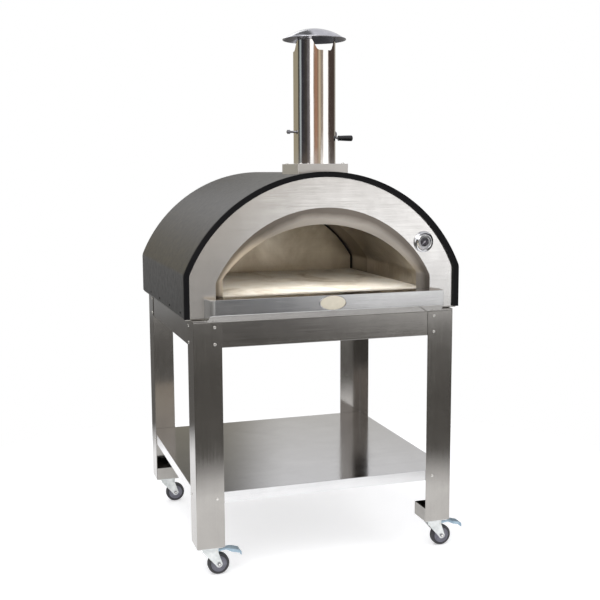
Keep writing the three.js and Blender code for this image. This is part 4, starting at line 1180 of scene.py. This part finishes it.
ROOM = [
    (-180, (0.36, 0.32, 0.23)), (-121, (0.36, 0.32, 0.23)), (-115, 0.03), (-108, 0.03),
    (-104, (0.46, 0.52, 0.54)), (-96, (0.38, 0.42, 0.44)), (-92, (0.03, 0.03, 0.04)),
    (-62, (0.05, 0.045, 0.04)), (-54, (0.13, 0.12, 0.13)), (-45, (0.16, 0.15, 0.15)), (-40, 1.4), (-26, 1.4),
    (-22, (0.30, 0.22, 0.16)), (-14, (0.36, 0.19, 0.12)), (-4, (0.38, 0.21, 0.13)), (0, (0.22, 0.15, 0.10)),
    (6, (0.60, 0.47, 0.33)), (12, (0.60, 0.50, 0.36)), (18, (0.30, 0.24, 0.19)), (29, (0.34, 0.28, 0.23)),
    (33, 1.4), (58, 1.4), (63, (0.30, 0.25, 0.23)), (68, (0.07, 0.05, 0.042)),
    (118, (0.07, 0.05, 0.042)), (126, (0.36, 0.34, 0.30)), (180, (0.36, 0.32, 0.23)),
]
CEILING = (0.80, 0.80, 0.83)
OVERHEAD = [(-180, CEILING), (163.5, CEILING), (166.5, 0.12), (180, 0.12)]
GROUND = (0.16, 0.153, 0.145)
# each band with the degrees of elevation over which it takes over from the one below
BANDS = [(-8.6, -8.3, SKIRTING), (-6.4, -4.6, SCREENS), (-0.2, 0.7, ROOM), (9, 20, OVERHEAD)]


def build_world():
    """White to the camera; to reflections, bands of ground, light screens, a room and a ceiling."""
    world = bpy.data.worlds.new("studio")
    bpy.context.scene.world = world
    world.use_nodes = True
    w = Nodes(world.node_tree)
    place = w.add("ShaderNodeTexCoord").outputs["Generated"]
    x, y, z = w.add("ShaderNodeSeparateXYZ", Vector=place).outputs
    around = w.maths("ARCTAN2", x, w.maths("MULTIPLY", y, -1.0))
    turn = w.maths("ADD", w.maths("DIVIDE", around, 2 * math.pi), 0.5)
    height = w.maths("ADD", w.maths("MULTIPLY", z, 0.5), 0.5)
    shown = (*GROUND, 1)
    for start, end, table in BANDS:
        low, high = (0.5 + 0.5 * math.sin(math.radians(angle)) for angle in (start, end))
        above = w.ramp(height, [(low, 0.0), (high, 1.0)])
        band = w.ramp(turn, [(0.5 + angle / 360, colour) for angle, colour in table])
        shown = w.mixed(above, shown, band)
    seen = w.add("ShaderNodeLightPath").outputs["Is Camera Ray"]
    light = w.add("ShaderNodeBackground", Color=w.mixed(seen, shown, (1.0, 1.0, 1.0, 1)))
    w.add("ShaderNodeOutputWorld", Surface=light.outputs[0])


def area_light(name, place, target, size, energy, glossy=True):
    data = bpy.data.lights.new(name, "AREA")
    data.shape = "RECTANGLE"
    data.size, data.size_y = size
    data.energy = energy
    lamp = linked(name, data)
    lamp.location = place
    lamp.rotation_euler = (Vector(target) - Vector(place)).to_track_quat("-Z", "Y").to_euler()
    lamp.visible_glossy = glossy
    lamp.visible_camera = False


def build_lights():
    area_light("key_softbox", (-1.8, -2.4, 3.6), (0, 0, 1.0), (3.2, 2.4), 60)
    area_light("fill_softbox", (2.6, -1.4, 2.6), (0, 0, 1.0), (2.0, 2.0), 20, glossy=False)
    area_light("hood_softbox", (-0.6, 1.9, 3.0), (0, 0.1, 1.45), (2.4, 1.0), 12)
    mouth, inside = (CENTRE_X, -0.36, 1.15), (CENTRE_X, -0.08, 0.99)
    area_light("chamber_fill", mouth, inside, (0.56, 0.06), 1.1, glossy=False)


CAMERA_AZIMUTH = 17.9
CAMERA_DIP = 7.58
CAMERA_ROLL = -0.26
CAMERA_PLACE = Vector((-1.1594, -3.6465, 1.4236))
LENS = 58.48


def build_camera():
    azimuth, dip, roll = (math.radians(v) for v in (CAMERA_AZIMUTH, CAMERA_DIP, CAMERA_ROLL))
    forward = Vector((math.sin(azimuth) * math.cos(dip), math.cos(azimuth) * math.cos(dip), -math.sin(dip)))
    level_right = Vector((math.cos(azimuth), -math.sin(azimuth), 0))
    level_up = level_right.cross(forward)
    right = level_right * math.cos(roll) + level_up * math.sin(roll)
    up = level_up * math.cos(roll) - level_right * math.sin(roll)
    data = bpy.data.cameras.new("photo_view")
    data.lens = LENS
    data.sensor_width = 36
    camera = linked("photo_view", data)
    turn = Matrix((right, up, -forward)).transposed().to_4x4()
    camera.matrix_world = Matrix.Translation(CAMERA_PLACE) @ turn
    bpy.context.scene.camera = camera


# ---- build

bpy.context.scene.view_settings.view_transform = "Standard"
build_camera()
build_world()
build_lights()
build_floor()
build_stand()
build_casters()
build_hood()
build_fascia()
build_throat()
build_chamber()
build_ledge()
build_flue()
build_fasteners()
build_thermometer()
dress_hidden_nodes()
